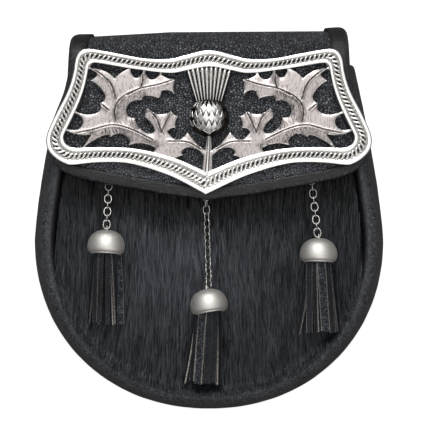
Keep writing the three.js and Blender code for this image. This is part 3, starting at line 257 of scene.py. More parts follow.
# Stretches where a leaf curls under, as outlines around them
CURLS = (
    (
        (0.415, 0.744), (0.483, 0.704), (0.53, 0.66), (0.561, 0.633), (0.574, 0.59), (0.573, 0.536),
        (0.561, 0.501), (0.5, 0.455), (0.42, 0.46), (0.42, 0.58), (0.36, 0.63), (0.39, 0.69),
    ),
    (
        (0.76, 0.432), (0.713, 0.443), (0.663, 0.466), (0.592, 0.477), (0.533, 0.475), (0.475, 0.448),
        (0.415, 0.417), (0.348, 0.38), (0.3, 0.345), (0.33, 0.31), (0.48, 0.33), (0.62, 0.38),
        (0.74, 0.335), (0.768, 0.335), (0.717, 0.419),
    ),
)
# Foot of a chain's eye, upwards: radius, height
EYE_FOOT = ((2.4, 0), (2.6, 0.15), (2.6, 0.4), (2.3, 0.62), (1.6, 0.66))
# Cap: outside from its mouth to its crown, within from its crown to its mouth, as shares of its size
CAP_OUTSIDE = (
    (0.75, 0.0), (0.85, 0.015), (0.935, 0.075), (0.985, 0.17), (1, 0.28), (0.985, 0.42), (0.93, 0.57),
    (0.83, 0.72), (0.68, 0.84), (0.48, 0.935), (0.25, 0.985), (0.02, 1),
)
CAP_WITHIN = ((0.02, 0.9), (0.4, 0.84), (0.64, 0.7), (0.8, 0.46), (0.83, 0.22), (0.72, 0.02))
# Section of a tassel's strip, bowed in the middle: shares of its half width and half thickness
STRIP_SECTION = (
    (-1, -0.1), (-0.93, -0.5), (-0.8, -0.46), (0, -0.36), (0.8, -0.46), (0.93, -0.5), (1, -0.1),
    (0.93, 0.5), (0.8, 0.54), (0, 0.64), (-0.8, 0.54), (-0.93, 0.5),
)
# Each drop: its name, how many links, the tilt of its tassel in degrees, how far its leftmost strip is splayed
# in millimetres, the number of the strip that shows its rough side, and by how many degrees its cap is turned
# in the picture and nods off the fur
DROPS = (
    ("left", 7, 0, -1.2, 0, -3, 6), ("centre", 14, -3, -2.0, 3, 12, 7), ("right", 9, 3, -5.0, 2, -4, 5),
)


class SporranSettings(bpy.types.PropertyGroup):
    """Sizes and colours of the sporran's finish."""

    leather_color: bpy.props.FloatVectorProperty(
        name="Leather", description="Colour of the smooth black leather", subtype="COLOR", size=4,
        default=(0.0042, 0.0046, 0.0055, 1), min=0, max=1,
    )
    fur_color: bpy.props.FloatVectorProperty(
        name="Fur", description="Colour of the hair in shade", subtype="COLOR", size=4,
        default=(0.0035, 0.0042, 0.005, 1), min=0, max=1,
    )
    fur_light: bpy.props.FloatVectorProperty(
        name="Fur highlights", description="Colour of the lightest hairs", subtype="COLOR", size=4,
        default=(0.098, 0.109, 0.126, 1), min=0, max=1,
    )
    metal_color: bpy.props.FloatVectorProperty(
        name="Cast metal", description="Colour of the plate's polished parts", subtype="COLOR", size=4,
        default=(0.93, 0.915, 0.89, 1), min=0, max=1,
    )
    # The patina colour also stands in for painted shade wherever the metal's attribute darkens a place
    patina_and_shade_color: bpy.props.FloatVectorProperty(
        name="Patina", description="Colour left in the plate's low places", subtype="COLOR", size=4,
        default=(0.022, 0.017, 0.015, 1), min=0, max=1,
    )
    fur_count: bpy.props.IntProperty(
        name="Hairs", description="Locks of hair on the front", default=34000, min=100, max=48000,
    )
    fur_length: bpy.props.FloatProperty(
        name="Hair length", description="Length of a lock of hair", default=0.017, unit="LENGTH",
    )
    rope_pitch: bpy.props.FloatProperty(
        name="Rope pitch", description="Distance between the rope's strands along the border",
        default=0.00238, unit="LENGTH",
    )


def settings():
    """The sizes and colours that the user has set."""
    return bpy.context.scene.sporran


# Lines and meshes


def run_along(line):
    """How far along a line each of its points lies."""
    return np.concatenate([[0], np.cumsum(np.linalg.norm(np.diff(line, axis=0), axis=1))])


def resample(points, count, closed=False, by=None):
    """Points spread evenly by length, measured along another line where one is given."""
    points = np.asarray(points, float)
    ruler = np.asarray(points if by is None else by, float)
    if closed:
        points, ruler = np.vstack([points, points[:1]]), np.vstack([ruler, ruler[:1]])
    run = run_along(ruler)
    at = np.linspace(0, run[-1], count + closed)[:count]
    return np.stack([np.interp(at, run, column) for column in points.T], -1)


def catmull(points, steps=8):
    """A smooth curve through the points."""
    points = np.asarray(points, float)
    p = np.vstack([2 * points[0] - points[1], points, 2 * points[-1] - points[-2]])
    t = np.linspace(0, 1, steps, endpoint=False)[:, None]
    spans = [
        0.5 * (2 * b + (c - a) * t + (2 * a - 5 * b + 4 * c - d) * t**2 + (3 * b - a - 3 * c + d) * t**3)
        for a, b, c, d in zip(p, p[1:], p[2:], p[3:])
    ]
    return np.vstack([*spans, points[-1:]])


def full_turn(count):
    """Angles spread evenly round a circle."""
    return np.linspace(0, 2 * math.pi, count, endpoint=False)


def unit(vectors):
    """Vectors made one long."""
    return vectors / np.linalg.norm(vectors, axis=-1, keepdims=True)


def right_of(points, closed=False):
    """Unit vectors to the right of travel along a flat line."""
    along = np.roll(points, -1, 0) - np.roll(points, 1, 0) if closed else np.gradient(points, axis=0)
    along = along / np.maximum(np.linalg.norm(along, axis=1, keepdims=True), 1e-9)
    return np.stack([along[:, 1], -along[:, 0]], -1)


def bell(offset, width):
    """1 where the offset is nought, falling off smoothly over the width."""
    return np.exp(-((offset / width) ** 2))


def ease(share):
    """A share kept between 0 and 1 and eased at both ends."""
    share = np.clip(share, 0, 1)
    return share * share * (3 - 2 * share)


def at_height(outline, z):
    """The points of a flat outline at one height, or each at its own."""
    return np.column_stack([outline, np.broadcast_to(z, len(outline))])


def turned_rings(profile, count):
    """Rings turned round the Y axis from pairs of radius and height along it."""
    turn = full_turn(count)
    return np.array([np.stack([r * np.cos(turn), y + 0 * turn, r * np.sin(turn)], -1) for r, y in profile])


def tube_rings(path, radius, sides, closed=False, up=(0, 0, 1)):
    """Round rings along a 3D line."""
    path = np.asarray(path, float)
    along = unit(np.roll(path, -1, 0) - np.roll(path, 1, 0) if closed else np.gradient(path, axis=0))
    across = unit(np.cross(along, up))
    over = np.cross(across, along)
    turn = full_turn(sides)[None, :, None]
    size = np.broadcast_to(radius, (len(path),))[:, None, None]
    return path[:, None] + size * (np.cos(turn) * across[:, None] + np.sin(turn) * over[:, None])


def nearest(anchors, points):
    """Which anchor lies nearest to each flat point, and how far from it."""
    tree = kdtree.KDTree(len(anchors))
    for index, (x, y) in enumerate(anchors):
        tree.insert((x, y, 0), index)
    tree.balance()
    found = [tree.find((x, y, 0)) for x, y in points]
    return np.array([hit[1] for hit in found]), np.array([hit[2] for hit in found])


def mesh_piece(name, vertices, faces, material, sharp=None, closed=True, **attributes):
    """A smooth object from millimetres, sharp at edges past an angle, with attributes on its vertices."""
    mesh = bpy.data.meshes.new(name)
    mesh.from_pydata((np.asarray(vertices, float).reshape(-1, 3) * MM).tolist(), [], faces)
    mesh.validate()
    for key, values in attributes.items():
        layer = mesh.attributes.new(key, "FLOAT", "POINT")
        layer.data.foreach_set("value", np.asarray(values, np.float32).ravel())
    if closed:
        work = bmesh.new()
        work.from_mesh(mesh)
        bmesh.ops.recalc_face_normals(work, faces=work.faces)
        work.to_mesh(mesh)
        work.free()
    mesh.polygons.foreach_set("use_smooth", [True] * len(mesh.polygons))
    if sharp is not None:
        mesh.set_sharp_from_angle(angle=math.radians(sharp))
    mesh.materials.append(material)
    piece = bpy.data.objects.new(name, mesh)
    bpy.context.scene.collection.objects.link(piece)
    return piece


class Build:
    """Gathers several closed forms into one mesh."""

    def __init__(self):
        self.points, self.faces, self.values, self.count = [], [], [], 0

    def loft(self, rings, looped=False, value=0.0):
        """Adds a skin over rings of points, with a face at each end or looped back to its start."""
        rings = np.asarray(rings, float)
        rows, columns = rings.shape[:2]
        i, j = np.meshgrid(np.arange(rows if looped else rows - 1), np.arange(columns), indexing="ij")
        i2, j2 = (i + 1) % rows, (j + 1) % columns
        quads = np.stack([i * columns + j, i * columns + j2, i2 * columns + j2, i2 * columns + j], -1)
        self.faces += (quads.reshape(-1, 4) + self.count).tolist()
        if not looped:
            self.faces.append([self.count + k for k in range(columns)][::-1])
            self.faces.append([self.count + (rows - 1) * columns + k for k in range(columns)])
        self.points.append(rings.reshape(-1, 3))
        self.values.append(np.broadcast_to(value, rings.shape[:2]).ravel())
        self.count += rows * columns

    def piece(self, name, material, key="recess", **options):
        """One object of all that was gathered, with its values as the attribute that the key names."""
        return mesh_piece(
            name, np.vstack(self.points), self.faces, material,
            **{key: np.concatenate(self.values)}, **options,
        )


def place(piece, slot, *nodes):
    """Fixes a finished piece to the bag, names its finish and stands it in for its solids."""
    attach(piece, "root")
    if nodes:
        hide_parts(*nodes)


# Shapes shared by pieces


def left_lean(y):
    """How far the bag's left side leans in behind the flap at its top."""
    return LEFT_LEAN * ease((y - BAG_RISE + LEAN_START) / LEAN_REACH)


def bag_outline(count):
    """The bag's outline, from the right side's top round the bottom to the left side's top."""
    y = np.linspace(BAG_RISE, 0, 60, endpoint=False)
    side = np.stack([HALF_BAG - TOP_TAPER * (y / BAG_RISE) ** TAPER_POWER, y], -1)
    turn = np.linspace(0, math.pi / 2, 200)
    belly = np.stack([
        HALF_BAG * np.maximum(0, np.cos(turn)) ** (2 / BELLY_POWER),
        -BAG_DROP * np.sin(turn) ** (2 / BELLY_POWER),
    ], -1)
    half = np.vstack([side, belly])
    half[-1, 0] = 0
    line = np.vstack([half, half[-2::-1] * [-1, 1]])
    line[:, 0] += left_lean(line[:, 1]) * (line[:, 0] < 0)
    return resample(line, count)


def hide_z(x, y):
    """Height of the front hide's outer face."""
    across = 1 - (x / (HALF_BAG - ROLL_WIDTH)) ** 2
    reach = np.where(y < 0, BAG_DROP - ROLL_WIDTH, 1.4 * MOUTH_Y)
    return HIDE_EDGE_Z + HIDE_CROWN * np.maximum(0, across) * np.maximum(0, 1 - (y / reach) ** 2)


def gusset_outer(count):
    """The gusset's outer line from the back seam to the lip of the roll, as inset and height."""
    rows = np.array(GUSSET_SECTION) * [ROLL_WIDTH, CREST_Z - SEAM_Z] + [0, SEAM_Z]
    return resample(catmull(rows), count)


def fold_line():
    """The flap's middle line over the fold, and how far along it each point, its top and its back lie."""
    middle = (FRONT_Z + TAIL_Z) / 2
    turn = np.linspace(0, math.pi / 2, FOLD_STEPS)
    front = np.stack([
        FOLD_FRONT_Y + (FOLD_TOP_Y - FOLD_FRONT_Y) * np.sin(turn),
        middle + (FRONT_Z - middle) * np.cos(turn),
    ], -1)
    back = np.stack([
        FOLD_BACK_Y + (FOLD_TOP_Y - FOLD_BACK_Y) * np.cos(turn),
        middle - (middle - TAIL_Z) * np.sin(turn),
    ], -1)[1:]
    line = np.vstack([front, back, [[FOLD_BACK_Y - TAIL_LENGTH, TAIL_Z]]])
    run = run_along(line)
    return line, run, run[FOLD_STEPS - 1], run[2 * FOLD_STEPS - 2]


FOLD_LINE, FOLD_RUN, OVER_TOP, UNDER_TOP = fold_line()
FOLD_SIDE = right_of(FOLD_LINE) * -1


def flap_points(x, run, height):
    """Points of the flap at x, at a run up its front and on over the fold, at a height off its middle."""
    x, run, height = np.broadcast_arrays(*(np.asarray(v, float) for v in (x, run, height)))
    past = np.maximum(0, run - FOLD_FRONT_Y)
    droop = SIDE_DROOP * np.minimum(1, np.abs(x) / FLAP_HALF) ** 4 * np.maximum(0, 1 - past / OVER_TOP)
    y, z = (np.interp(past, FOLD_RUN, FOLD_LINE[:, k]) for k in (0, 1))
    ny, nz = (np.interp(past, FOLD_RUN, FOLD_SIDE[:, k]) for k in (0, 1))
    flat = run <= FOLD_FRONT_Y
    y = np.where(flat, run, y + ny * height)
    rise = np.interp(x, *np.array(FOLD_RISE).T)
    y = y + rise * np.maximum(0, y - FOLD_FRONT_Y) / (FOLD_TOP_Y - FOLD_FRONT_Y)
    z = np.where(flat, FRONT_Z + height, z + nz * height) - droop
    return np.stack([x, y, z], -1)


def flap_half_width(run):
    """Half of the flap's width at a run up its front and on over the fold."""
    run = np.asarray(run, float)
    up = np.clip((run - FLAP_CORNER_Y) / (FOLD_FRONT_Y - FLAP_CORNER_Y), 0, 1)
    side = np.interp(up, *np.array(FLAP_SIDE).T) * FLAP_HALF
    past = np.clip((run - FOLD_FRONT_Y) / OVER_TOP, 0, 1)
    top = side + (FLAP_HALF - TOP_NARROWING - side) * past - TOP_ROUNDING * past**6
    tuck = ease((run - FOLD_FRONT_Y - OVER_TOP) / (UNDER_TOP - OVER_TOP))
    return np.where(run > FOLD_FRONT_Y, top + (FLAP_HALF - TAIL_NARROWING - top) * tuck, side)


def flap_lower_edge(x):
    """The run at which the flap ends below x."""
    across = np.minimum(1, np.abs(x) / FLAP_HALF)
    return FLAP_TIP_Y + np.interp(across, *np.array(FLAP_EDGE).T) * (FLAP_CORNER_Y - FLAP_TIP_Y)


def plate_xy(shares):
    """Millimetres from shares of the plate's half width and height."""
    return np.asarray(shares, float) * [PLATE_HALF, PLATE_HEIGHT] + [0, PLATE_TIP_Y]


def lean_tip(points):
    """Points of the plate with its lower tip drawn a little to the left, as the casting's is."""
    points = np.array(points, float)
    low = np.clip(1 - (points[..., 1] - PLATE_TIP_Y) / (TIP_SHARE * PLATE_HEIGHT), 0, 1)
    near = np.clip(1 - np.abs(points[..., 0]) / (0.6 * PLATE_HALF), 0, 1)
    points[..., 0] -= TIP_LEAN * low * near
    return points


def border_lines(count):
    """Outer and inner edge of the plate's border, spread evenly along its middle, closed."""
    half = np.array(PLATE_BORDER)
    rows = np.hstack([plate_xy(half[:, :2]), plate_xy(half[:, 2:])])
    mirror = np.array([-1, 1, -1, 1])
    steps = 10
    side = catmull(np.vstack([rows[1:2] * mirror, rows]), steps)[steps:]
    dense = np.vstack([side, side[-2:0:-1] * mirror])
    even = resample(dense, count, True, by=(dense[:, :2] + dense[:, 2:]) / 2)
    return even[:, :2], even[:, 2:]


# Materials

# Colours that aren't for the user to change: those of the finishes, the painted sheen of the leather, and the
# polish and painted highlight of the metal
PAINTED_SHEEN_COLOR = (0.19, 0.2, 0.225, 1)
POLISH_AND_HIGHLIGHT_METAL = (0.95, 0.94, 0.92, 1)
WIRE_METAL = (0.5, 0.49, 0.47, 1)
LEAF_METAL = (0.6, 0.545, 0.53, 1)
SATIN_METAL = (0.84, 0.815, 0.775, 1)
STUD_METAL = (0.6, 0.585, 0.56, 1)
THREAD_DARK, THREAD_LIGHT = (0.012, 0.012, 0.013, 1), (0.05, 0.05, 0.052, 1)
CUT_DARK, CUT_LIGHT = (0.09, 0.086, 0.08, 1), (0.36, 0.345, 0.32, 1)
SUEDE_DARK, SUEDE_LIGHT = (0.008, 0.0088, 0.01, 1), (0.085, 0.095, 0.11, 1)
FLOOR_BOUNCE = (0.16, 0.155, 0.15, 1)
BLACK = (0, 0, 0, 1)


def fill(tree, node, inputs):
    """Links each input to its value where that is a socket, and writes the value into it where not."""
    for key, value in inputs.items():
        if isinstance(value, bpy.types.NodeSocket):
            tree.links.new(value, node.inputs[key])
        else:
            node.inputs[key].default_value = value
    return node


def add(tree, kind, inputs=None, **options):
    """A shader node with its options set and its inputs linked or filled in."""
    node = tree.nodes.new("ShaderNode" + kind)
    for key, value in options.items():
        setattr(node, key, value)
    return fill(tree, node, inputs or {})


def math_node(tree, operation, *values, clamp=False):
    """The result of a sum on values and sockets."""
    return add(tree, "Math", dict(enumerate(values)), operation=operation, use_clamp=clamp).outputs[0]


def ramp(tree, factor, *stops):
    """A colour ramp whose stops are (position, colour)."""
    node = add(tree, "ValToRGB", {"Fac": factor})
    elements = node.color_ramp.elements
    while len(elements) < len(stops):
        elements.new(1)
    for element, (position, color) in zip(elements, stops):
        element.position = position
        element.color = color if hasattr(color, "__len__") else (color, color, color, 1)
    return node.outputs["Color"]


def noise(tree, vector, scale, detail=2.0, roughness=0.5, output="Fac"):
    """Cloudy noise, its scale in clouds per metre."""
    node = add(tree, "TexNoise", {"Vector": vector, "Scale": scale, "Detail": detail, "Roughness": roughness})
    return node.outputs[output]


def stretch(tree, vector, scale):
    """Places scaled by a share along each axis, so that noise on them turns into streaks."""
    return add(tree, "Mapping", {"Vector": vector, "Scale": scale}).outputs[0]


def object_place(tree):
    """The place on the object, in metres."""
    return add(tree, "TexCoord").outputs["Object"]


def attribute(tree, name):
    """The value that a piece's points carry under a name."""
    return add(tree, "Attribute", attribute_name=name).outputs["Fac"]


def mix(tree, factor, first, second):
    """One colour going over into another."""
    return fill(tree, add(tree, "Mix", data_type="RGBA"), {0: factor, 6: first, 7: second}).outputs[2]


def bump(tree, height, depth):
    """A normal from a height, its depth in metres."""
    return add(tree, "Bump", {"Height": height, "Distance": depth}).outputs["Normal"]


def shade(color, factor):
    """A colour made lighter or darker."""
    return tuple(min(1.0, channel * factor) for channel in color[:3]) + (1,)


def new_group(name, inputs, outputs):
    """A new node group, the sockets that bring in its values and the node that puts out its results."""
    tree = bpy.data.node_groups.new(name, "ShaderNodeTree")
    for label, default in inputs.items():
        socket = tree.interface.new_socket(label, in_out="INPUT", socket_type="NodeSocketFloat")
        socket.default_value = default
    for label in outputs:
        tree.interface.new_socket(label, in_out="OUTPUT", socket_type="NodeSocketFloat")
    return tree, tree.nodes.new("NodeGroupInput").outputs, tree.nodes.new("NodeGroupOutput")


def use_group(tree, group, inputs):
    """A node group placed in a material, with its own values."""
    node = tree.nodes.new("ShaderNodeGroup")
    node.node_tree = group
    return fill(tree, node, inputs).outputs


def leather_grain():
    """Pebbles with creases between them, and a slow change of tone."""
    name = "Leather Grain"
    if name in bpy.data.node_groups:
        return bpy.data.node_groups[name]
    tree, source, sink = new_group(
        name, {"Pebbles per metre": 700.0, "Fineness": 0.5}, ("Height", "Tone", "Crease", "Pebble"),
    )
    place_at = object_place(tree)
    per_metre = source["Pebbles per metre"]
    cells = {"Vector": place_at, "Scale": per_metre, "Randomness": 1.0}
    rims = add(tree, "TexVoronoi", cells, feature="DISTANCE_TO_EDGE").outputs["Distance"]
    domes = ramp(tree, rims, (0.0, 0.0), (0.12, 0.55), (0.4, 1.0))
    fine = noise(tree, place_at, math_node(tree, "MULTIPLY", per_metre, 2.3), 3.0)
    shades = add(tree, "TexVoronoi", cells).outputs["Color"]
    red = add(tree, "SeparateColor", {"Color": shades}).outputs[0]
    shadow = math_node(tree, "MULTIPLY_ADD", math_node(tree, "POWER", red, 1.4), 0.8, 0.2)
    fill(tree, sink, {
        "Height": math_node(tree, "MULTIPLY_ADD", fine, source["Fineness"], domes),
        "Tone": noise(tree, place_at, 38.0, 3.0, 0.6),
        "Crease": math_node(tree, "SUBTRACT", 1.0, domes, clamp=True),
        "Pebble": math_node(tree, "MULTIPLY", shadow, domes),
    })
    return tree


def cast_surface():
    """Fine grain of cast and rubbed metal, with the dark left in its low places."""
    name = "Cast Surface"
    if name in bpy.data.node_groups:
        return bpy.data.node_groups[name]
    tree, source, sink = new_group(
        name, {"Patina and painted light": 0.0, "Grain per metre": 2600.0, "Mottle": 0.25, "Brushed": 0.0},
        ("Dark", "Height", "Rough"),
    )
    place_at = object_place(tree)
    grain = noise(tree, place_at, source["Grain per metre"], 4.0, 0.65)
    swirled = mix(tree, 0.012, place_at, noise(tree, place_at, 60.0, 1.0, output="Color"))
    streak = noise(tree, stretch(tree, swirled, (1.0, 0.16, 0.5)), 2100.0, 3.0, 0.6)
    marks = math_node(tree, "MULTIPLY_ADD", noise(tree, place_at, 170.0, 3.0), 0.24, -0.12)
    for pattern, strength in ((grain, source["Mottle"]), (streak, source["Brushed"])):
        marks = math_node(tree, "MULTIPLY_ADD", math_node(tree, "SUBTRACT", pattern, 0.5), strength, marks)
    fill(tree, sink, {
        "Dark": math_node(tree, "ADD", source["Patina and painted light"], marks, clamp=True),
        "Height": grain,
        "Rough": math_node(tree, "MULTIPLY_ADD", grain, 0.25, 0.16, clamp=True),
    })
    return tree


def material(name):
    """A new material, its tree and its shader."""
    made = bpy.data.materials.new(name)
    made.use_nodes = True
    return made, made.node_tree, made.node_tree.nodes["Principled BSDF"]


def leather(name, pebbles, depth, rough, lift, fineness, crease=0.0, sheen_share=0.0):
    """Black leather: pebbles per metre, relief in metres, roughness, tone, fine grain, creases and wear."""
    if name in bpy.data.materials:
        return bpy.data.materials[name]
    made, tree, shader = material(name)
    base = tuple(settings().leather_color)
    grain = use_group(tree, leather_grain(), {"Pebbles per metre": pebbles, "Fineness": fineness})
    tone = ramp(tree, grain["Tone"], (0.3, shade(base, 0.7 * lift)), (0.7, shade(base, 1.5 * lift)))
    # Painted sheen: where the attribute says, the pebbles are lightened towards a pale colour, standing in for
    # the light that they catch; the mixed colour is the leather with this painted sheen
    painted_sheen = math_node(tree, "MULTIPLY", grain["Pebble"], attribute(tree, "painted_sheen"))
    rubbed = mix(tree, math_node(tree, "MULTIPLY", painted_sheen, sheen_share, clamp=True), tone, PAINTED_SHEEN_COLOR)
    # Painted shade darkens the creases between the pebbles
    in_crease = math_node(tree, "MULTIPLY", grain["Crease"], crease)
    fill(tree, shader, {
        "Base Color": mix(tree, in_crease, rubbed, shade(base, 0.3)),
        "Roughness": ramp(tree, grain["Tone"], (0.25, rough - 0.06), (0.75, rough + 0.08)),
        "Normal": bump(tree, grain["Height"], depth),
    })
    return made


def smooth_leather():
    """The gusset's, binding's and tabs' leather, with a faint grain."""
    return leather(
        "Smooth leather", pebbles=1300.0, depth=0.0001, rough=0.3, lift=0.8, fineness=0.6, sheen_share=1.0,
    )


def pebbled_leather():
    """The flap's leather, with clear pebbles that are rubbed pale where the light falls."""
    return leather(
        "Pebbled leather", pebbles=760.0, depth=0.0005, rough=0.4, lift=3.2, fineness=0.7, crease=0.9, sheen_share=1.0,
    )


def strip_material():
    """The tassels' leather: dark where 'edge' is 0, as pale as a cut at 1, rough and greyish at 2."""
    name = "Tassel leather"
    if name in bpy.data.materials:
        return bpy.data.materials[name]
    made, tree, shader = material(name)
    base = tuple(settings().leather_color)
    grain = use_group(tree, leather_grain(), {"Pebbles per metre": 900.0, "Fineness": 0.8})
    side = attribute(tree, "edge")
    edge = math_node(tree, "ADD", side, 0.0, clamp=True)
    rough = math_node(tree, "SUBTRACT", side, 1.0, clamp=True)
    tone = ramp(tree, grain["Tone"], (0.3, shade(base, 2.6)), (0.7, shade(base, 6.0)))
    cut = ramp(tree, grain["Height"], (0.3, CUT_DARK), (1.0, CUT_LIGHT))
    suede = ramp(tree, grain["Pebble"], (0.05, SUEDE_DARK), (0.5, SUEDE_LIGHT))
    fill(tree, shader, {
        "Base Color": mix(tree, rough, mix(tree, edge, tone, cut), suede),
        "Roughness": math_node(tree, "MULTIPLY_ADD", edge, 0.3, 0.4),
        "Normal": bump(tree, grain["Height"], 0.00025),
        "Specular IOR Level": 0.2,
    })
    return made


def metal(name, color, rough, dark_share=1.0, grain=2600.0, depth=0.00004, mottle=0.25, brushed=0.0):
    """Cast or drawn metal whose 'recess' attribute says how much dark stays in a place."""
    if name in bpy.data.materials:
        return bpy.data.materials[name]
    made, tree, shader = material(name)
    recess = attribute(tree, "recess")
    surface = use_group(tree, cast_surface(), {
        "Patina and painted light": math_node(tree, "MULTIPLY", recess, dark_share), "Grain per metre": grain,
        "Mottle": mottle, "Brushed": brushed,
    })
    # Below nought the attribute mixes in a light colour, for polish and for painted highlight; above nought the
    # patina colour is mixed in further down
    polished = mix(tree, math_node(tree, "MULTIPLY", recess, -1.0, clamp=True), color, POLISH_AND_HIGHLIGHT_METAL)
    dark = ramp(tree, surface["Dark"], (0.12, 0.0), (0.85, 1.0))
    fill(tree, shader, {
        "Base Color": mix(tree, dark, polished, tuple(settings().patina_and_shade_color)),
        "Roughness": math_node(tree, "ADD", surface["Rough"], rough - 0.25, clamp=True),
        "Normal": bump(tree, surface["Height"], depth),
        "Metallic": 1.0,
    })
    return made


def cast_metal(name, rough, **options):
    """The plate's polished metal."""
    return metal(name, tuple(settings().metal_color), rough, **options)


def bright_metal():
    """The chains' and rings' wire."""
    return metal("Bright wire", WIRE_METAL, rough=0.28, dark_share=0.6)


def hair_material(name, scale_across):
    """Hair: streaks along Y, lighter where the 'tone' attribute is high."""
    if name in bpy.data.materials:
        return bpy.data.materials[name]
    made, tree, shader = material(name)
    streaks = noise(tree, stretch(tree, object_place(tree), (1.0, 0.06, 0.3)), scale_across, 4.0, 0.7)
    tone = math_node(tree, "MULTIPLY_ADD", attribute(tree, "tone"), 0.75, -0.42)
    share = math_node(tree, "MULTIPLY_ADD", streaks, 0.9, tone)
    base, light = tuple(settings().fur_color), tuple(settings().fur_light)
    fill(tree, shader, {
        "Base Color": ramp(tree, share, (0.1, base), (0.4, shade(light, 0.4)), (0.85, light)),
        "Roughness": ramp(tree, streaks, (0.2, 0.5), (0.8, 0.36)),
        "Normal": bump(tree, streaks, 0.0002),
        "Specular IOR Level": 0.28,
    })
    return made


def thread_material():
    """The twisted, waxed sewing thread."""
    name = "Waxed thread"
    if name in bpy.data.materials:
        return bpy.data.materials[name]
    made, tree, shader = material(name)
    waves = {"Vector": object_place(tree), "Scale": 900.0, "Distortion": 2.0}
    twist = add(tree, "TexWave", waves).outputs["Fac"]
    fill(tree, shader, {
        "Base Color": ramp(tree, twist, (0.2, THREAD_DARK), (0.8, THREAD_LIGHT)),
        "Roughness": ramp(tree, twist, (0.0, 0.6), (1.0, 0.45)),
        "Normal": bump(tree, twist, 0.0001),
    })
    return made


def floor_material():
    """White paper that throws little of its light back at the leather."""
    made, tree, shader = material("Paper floor")
    paper = ramp(tree, noise(tree, object_place(tree), 3.0), (0.3, 0.93), (0.7, 0.95))
    seen = add(tree, "LightPath").outputs["Is Camera Ray"]
    fill(tree, shader, {
        "Base Color": mix(tree, seen, FLOOR_BOUNCE, paper),
        "Emission Color": mix(tree, seen, BLACK, paper),
        "Emission Strength": 0.68,
        "Roughness": 0.9,
    })
    return made


# Pieces


def stitches(name, line, normal, length, pitch):
    """A row of short stitches along a 3D line, each a small rounded bar lying on the leather."""
    count = max(2, int(run_along(line)[-1] / pitch))
    at = resample(line, count * 4)
    share = np.linspace(-1, 1, 5)
    arch = np.asarray(normal) * (STITCH_WIDTH / 2 * (1 - share**2))[:, None]
    radius = STITCH_WIDTH / 2 * np.array([0.35, 0.9, 1, 0.9, 0.35])
    build = Build()
    for start, end in zip(at[::4], at[3::4]):
        path = (start + end) / 2 + unit(end - start) * share[:, None] * length / 2 + arch
        build.loft(tube_rings(path, radius, 6, up=normal))
    place(build.piece(name, thread_material()), "smooth_leather")


def build_back():
    """The flat back with rounded edges, dipped at the top, and its row of stitches."""
    outline = bag_outline(240)
    inward = right_of(outline)
    rim = outline + inward * BACK_INSET
    dip = rim[0, 0] - BACK_EAR
    top = np.array([
        (-dip - BACK_EAR / 3, rim[-1, 1]), (-dip - 1, BACK_TOP + 1.2), (-dip + 1.5, BACK_TOP),
        (dip - 1.5, BACK_TOP), (dip + 1, BACK_TOP + 1.2), (dip + BACK_EAR / 3, rim[0, 1]),
    ])
    shape = resample(np.vstack([rim, top]), 420, True)
    into = right_of(shape, True)
    build = Build()
    build.loft([at_height(shape + into * inset, z) for inset, z in BACK_EDGE])
    finish = leather("Back leather", pebbles=1200.0, depth=0.00012, rough=0.5, lift=1.5, fineness=0.7)
    place(build.piece("back_leather", finish, sharp=60), "smooth_leather", "back_panel")
    row = outline + inward * (BACK_INSET + 3.2)
    stitches("back_stitches", at_height(row, 0.25)[4:-4], (0, 0, -1), length=2.6, pitch=3.7)


def build_gusset():
    """The moulded gusset and its roll, with the wrinkles that the bend leaves in the leather."""
    steps = 30
    outer = gusset_outer(steps)
    inner = outer + right_of(outer) * GUSSET_WALL
    inner[0, 1] = outer[0, 1]
    section = np.vstack([outer, inner[::-1]])
    outline = bag_outline(760)
    inward = right_of(outline)
    rng = np.random.default_rng(3)
    station = np.linspace(0, 520, len(outline))

    def ripple(slow, fast):
        """Waves of random length and height along the outline, laid over each other."""
        waves = 9
        return sum(
            rng.uniform(0.3, 1) * np.sin(station * rng.uniform(slow, fast) + rng.uniform(0, 6))
            for _ in range(waves)
        ) / waves

    swells = ripple(0.05, 0.9)
    puckers = ripple(1.4, 2.9) * np.clip(-outline[:, 1] / BAG_DROP, 0, 1)
    share = np.linspace(0, 1, steps)
    rings = []
    for point, into, swell, pucker in zip(outline, inward, swells, puckers):
        puff = 0.22 * swell * np.sin(share * math.pi) ** 2 + 0.3 * pucker * np.clip(2 * share - 1, 0, 1)
        from_end = min(1.0, (BAG_RISE - point[1]) / GUSSET_END_ROUND)
        puff = puff + 2.2 * (1 - math.sqrt(max(0.0, 1 - (1 - from_end) ** 2)))
        inset = section[:, :1] + np.concatenate([puff, puff[::-1]])[:, None]
        rings.append(np.column_stack([point + into * inset, section[:, 1]]))
    # Painted sheen along the roll's crest near its lip, none on the inner wall
    sheen_share = 1.1 * bell(share - 0.79, 0.11) + 0.25 * bell(share - 0.64, 0.12)
    sheen_share = np.concatenate([sheen_share, 0 * sheen_share])[None] * (0.85 + 0.15 * swells / 0.4)[:, None]
    build = Build()
    build.loft(rings, value=np.clip(sheen_share, 0, 1.2))
    gusset = build.piece("gusset_leather", smooth_leather(), key="painted_sheen", sharp=70)
    place(gusset, "smooth_leather", "gusset")
    row = outline + inward * (0.24 * ROLL_WIDTH - 0.16)
    line = at_height(row, SEAM_Z + GUSSET_WALL)[6:-6]
    stitches("gusset_stitches", line, (0, 0, 1), length=2.4, pitch=3.6)


def front_region(points):
    """Distance from the bag's outline inwards for each point, below nought outside it."""
    _, gap = nearest(bag_outline(1400), points)
    x, y = np.abs(points[:, 0]), points[:, 1]
    side = HALF_BAG - TOP_TAPER * np.clip(y / BAG_RISE, 0, 1) ** TAPER_POWER
    side = side - left_lean(y) * (points[:, 0] < 0)
    belly = (x / HALF_BAG) ** BELLY_POWER + np.maximum(0, -y / BAG_DROP) ** BELLY_POWER
    return np.where(np.where(y > 0, x < side, belly < 1), gap, -gap)


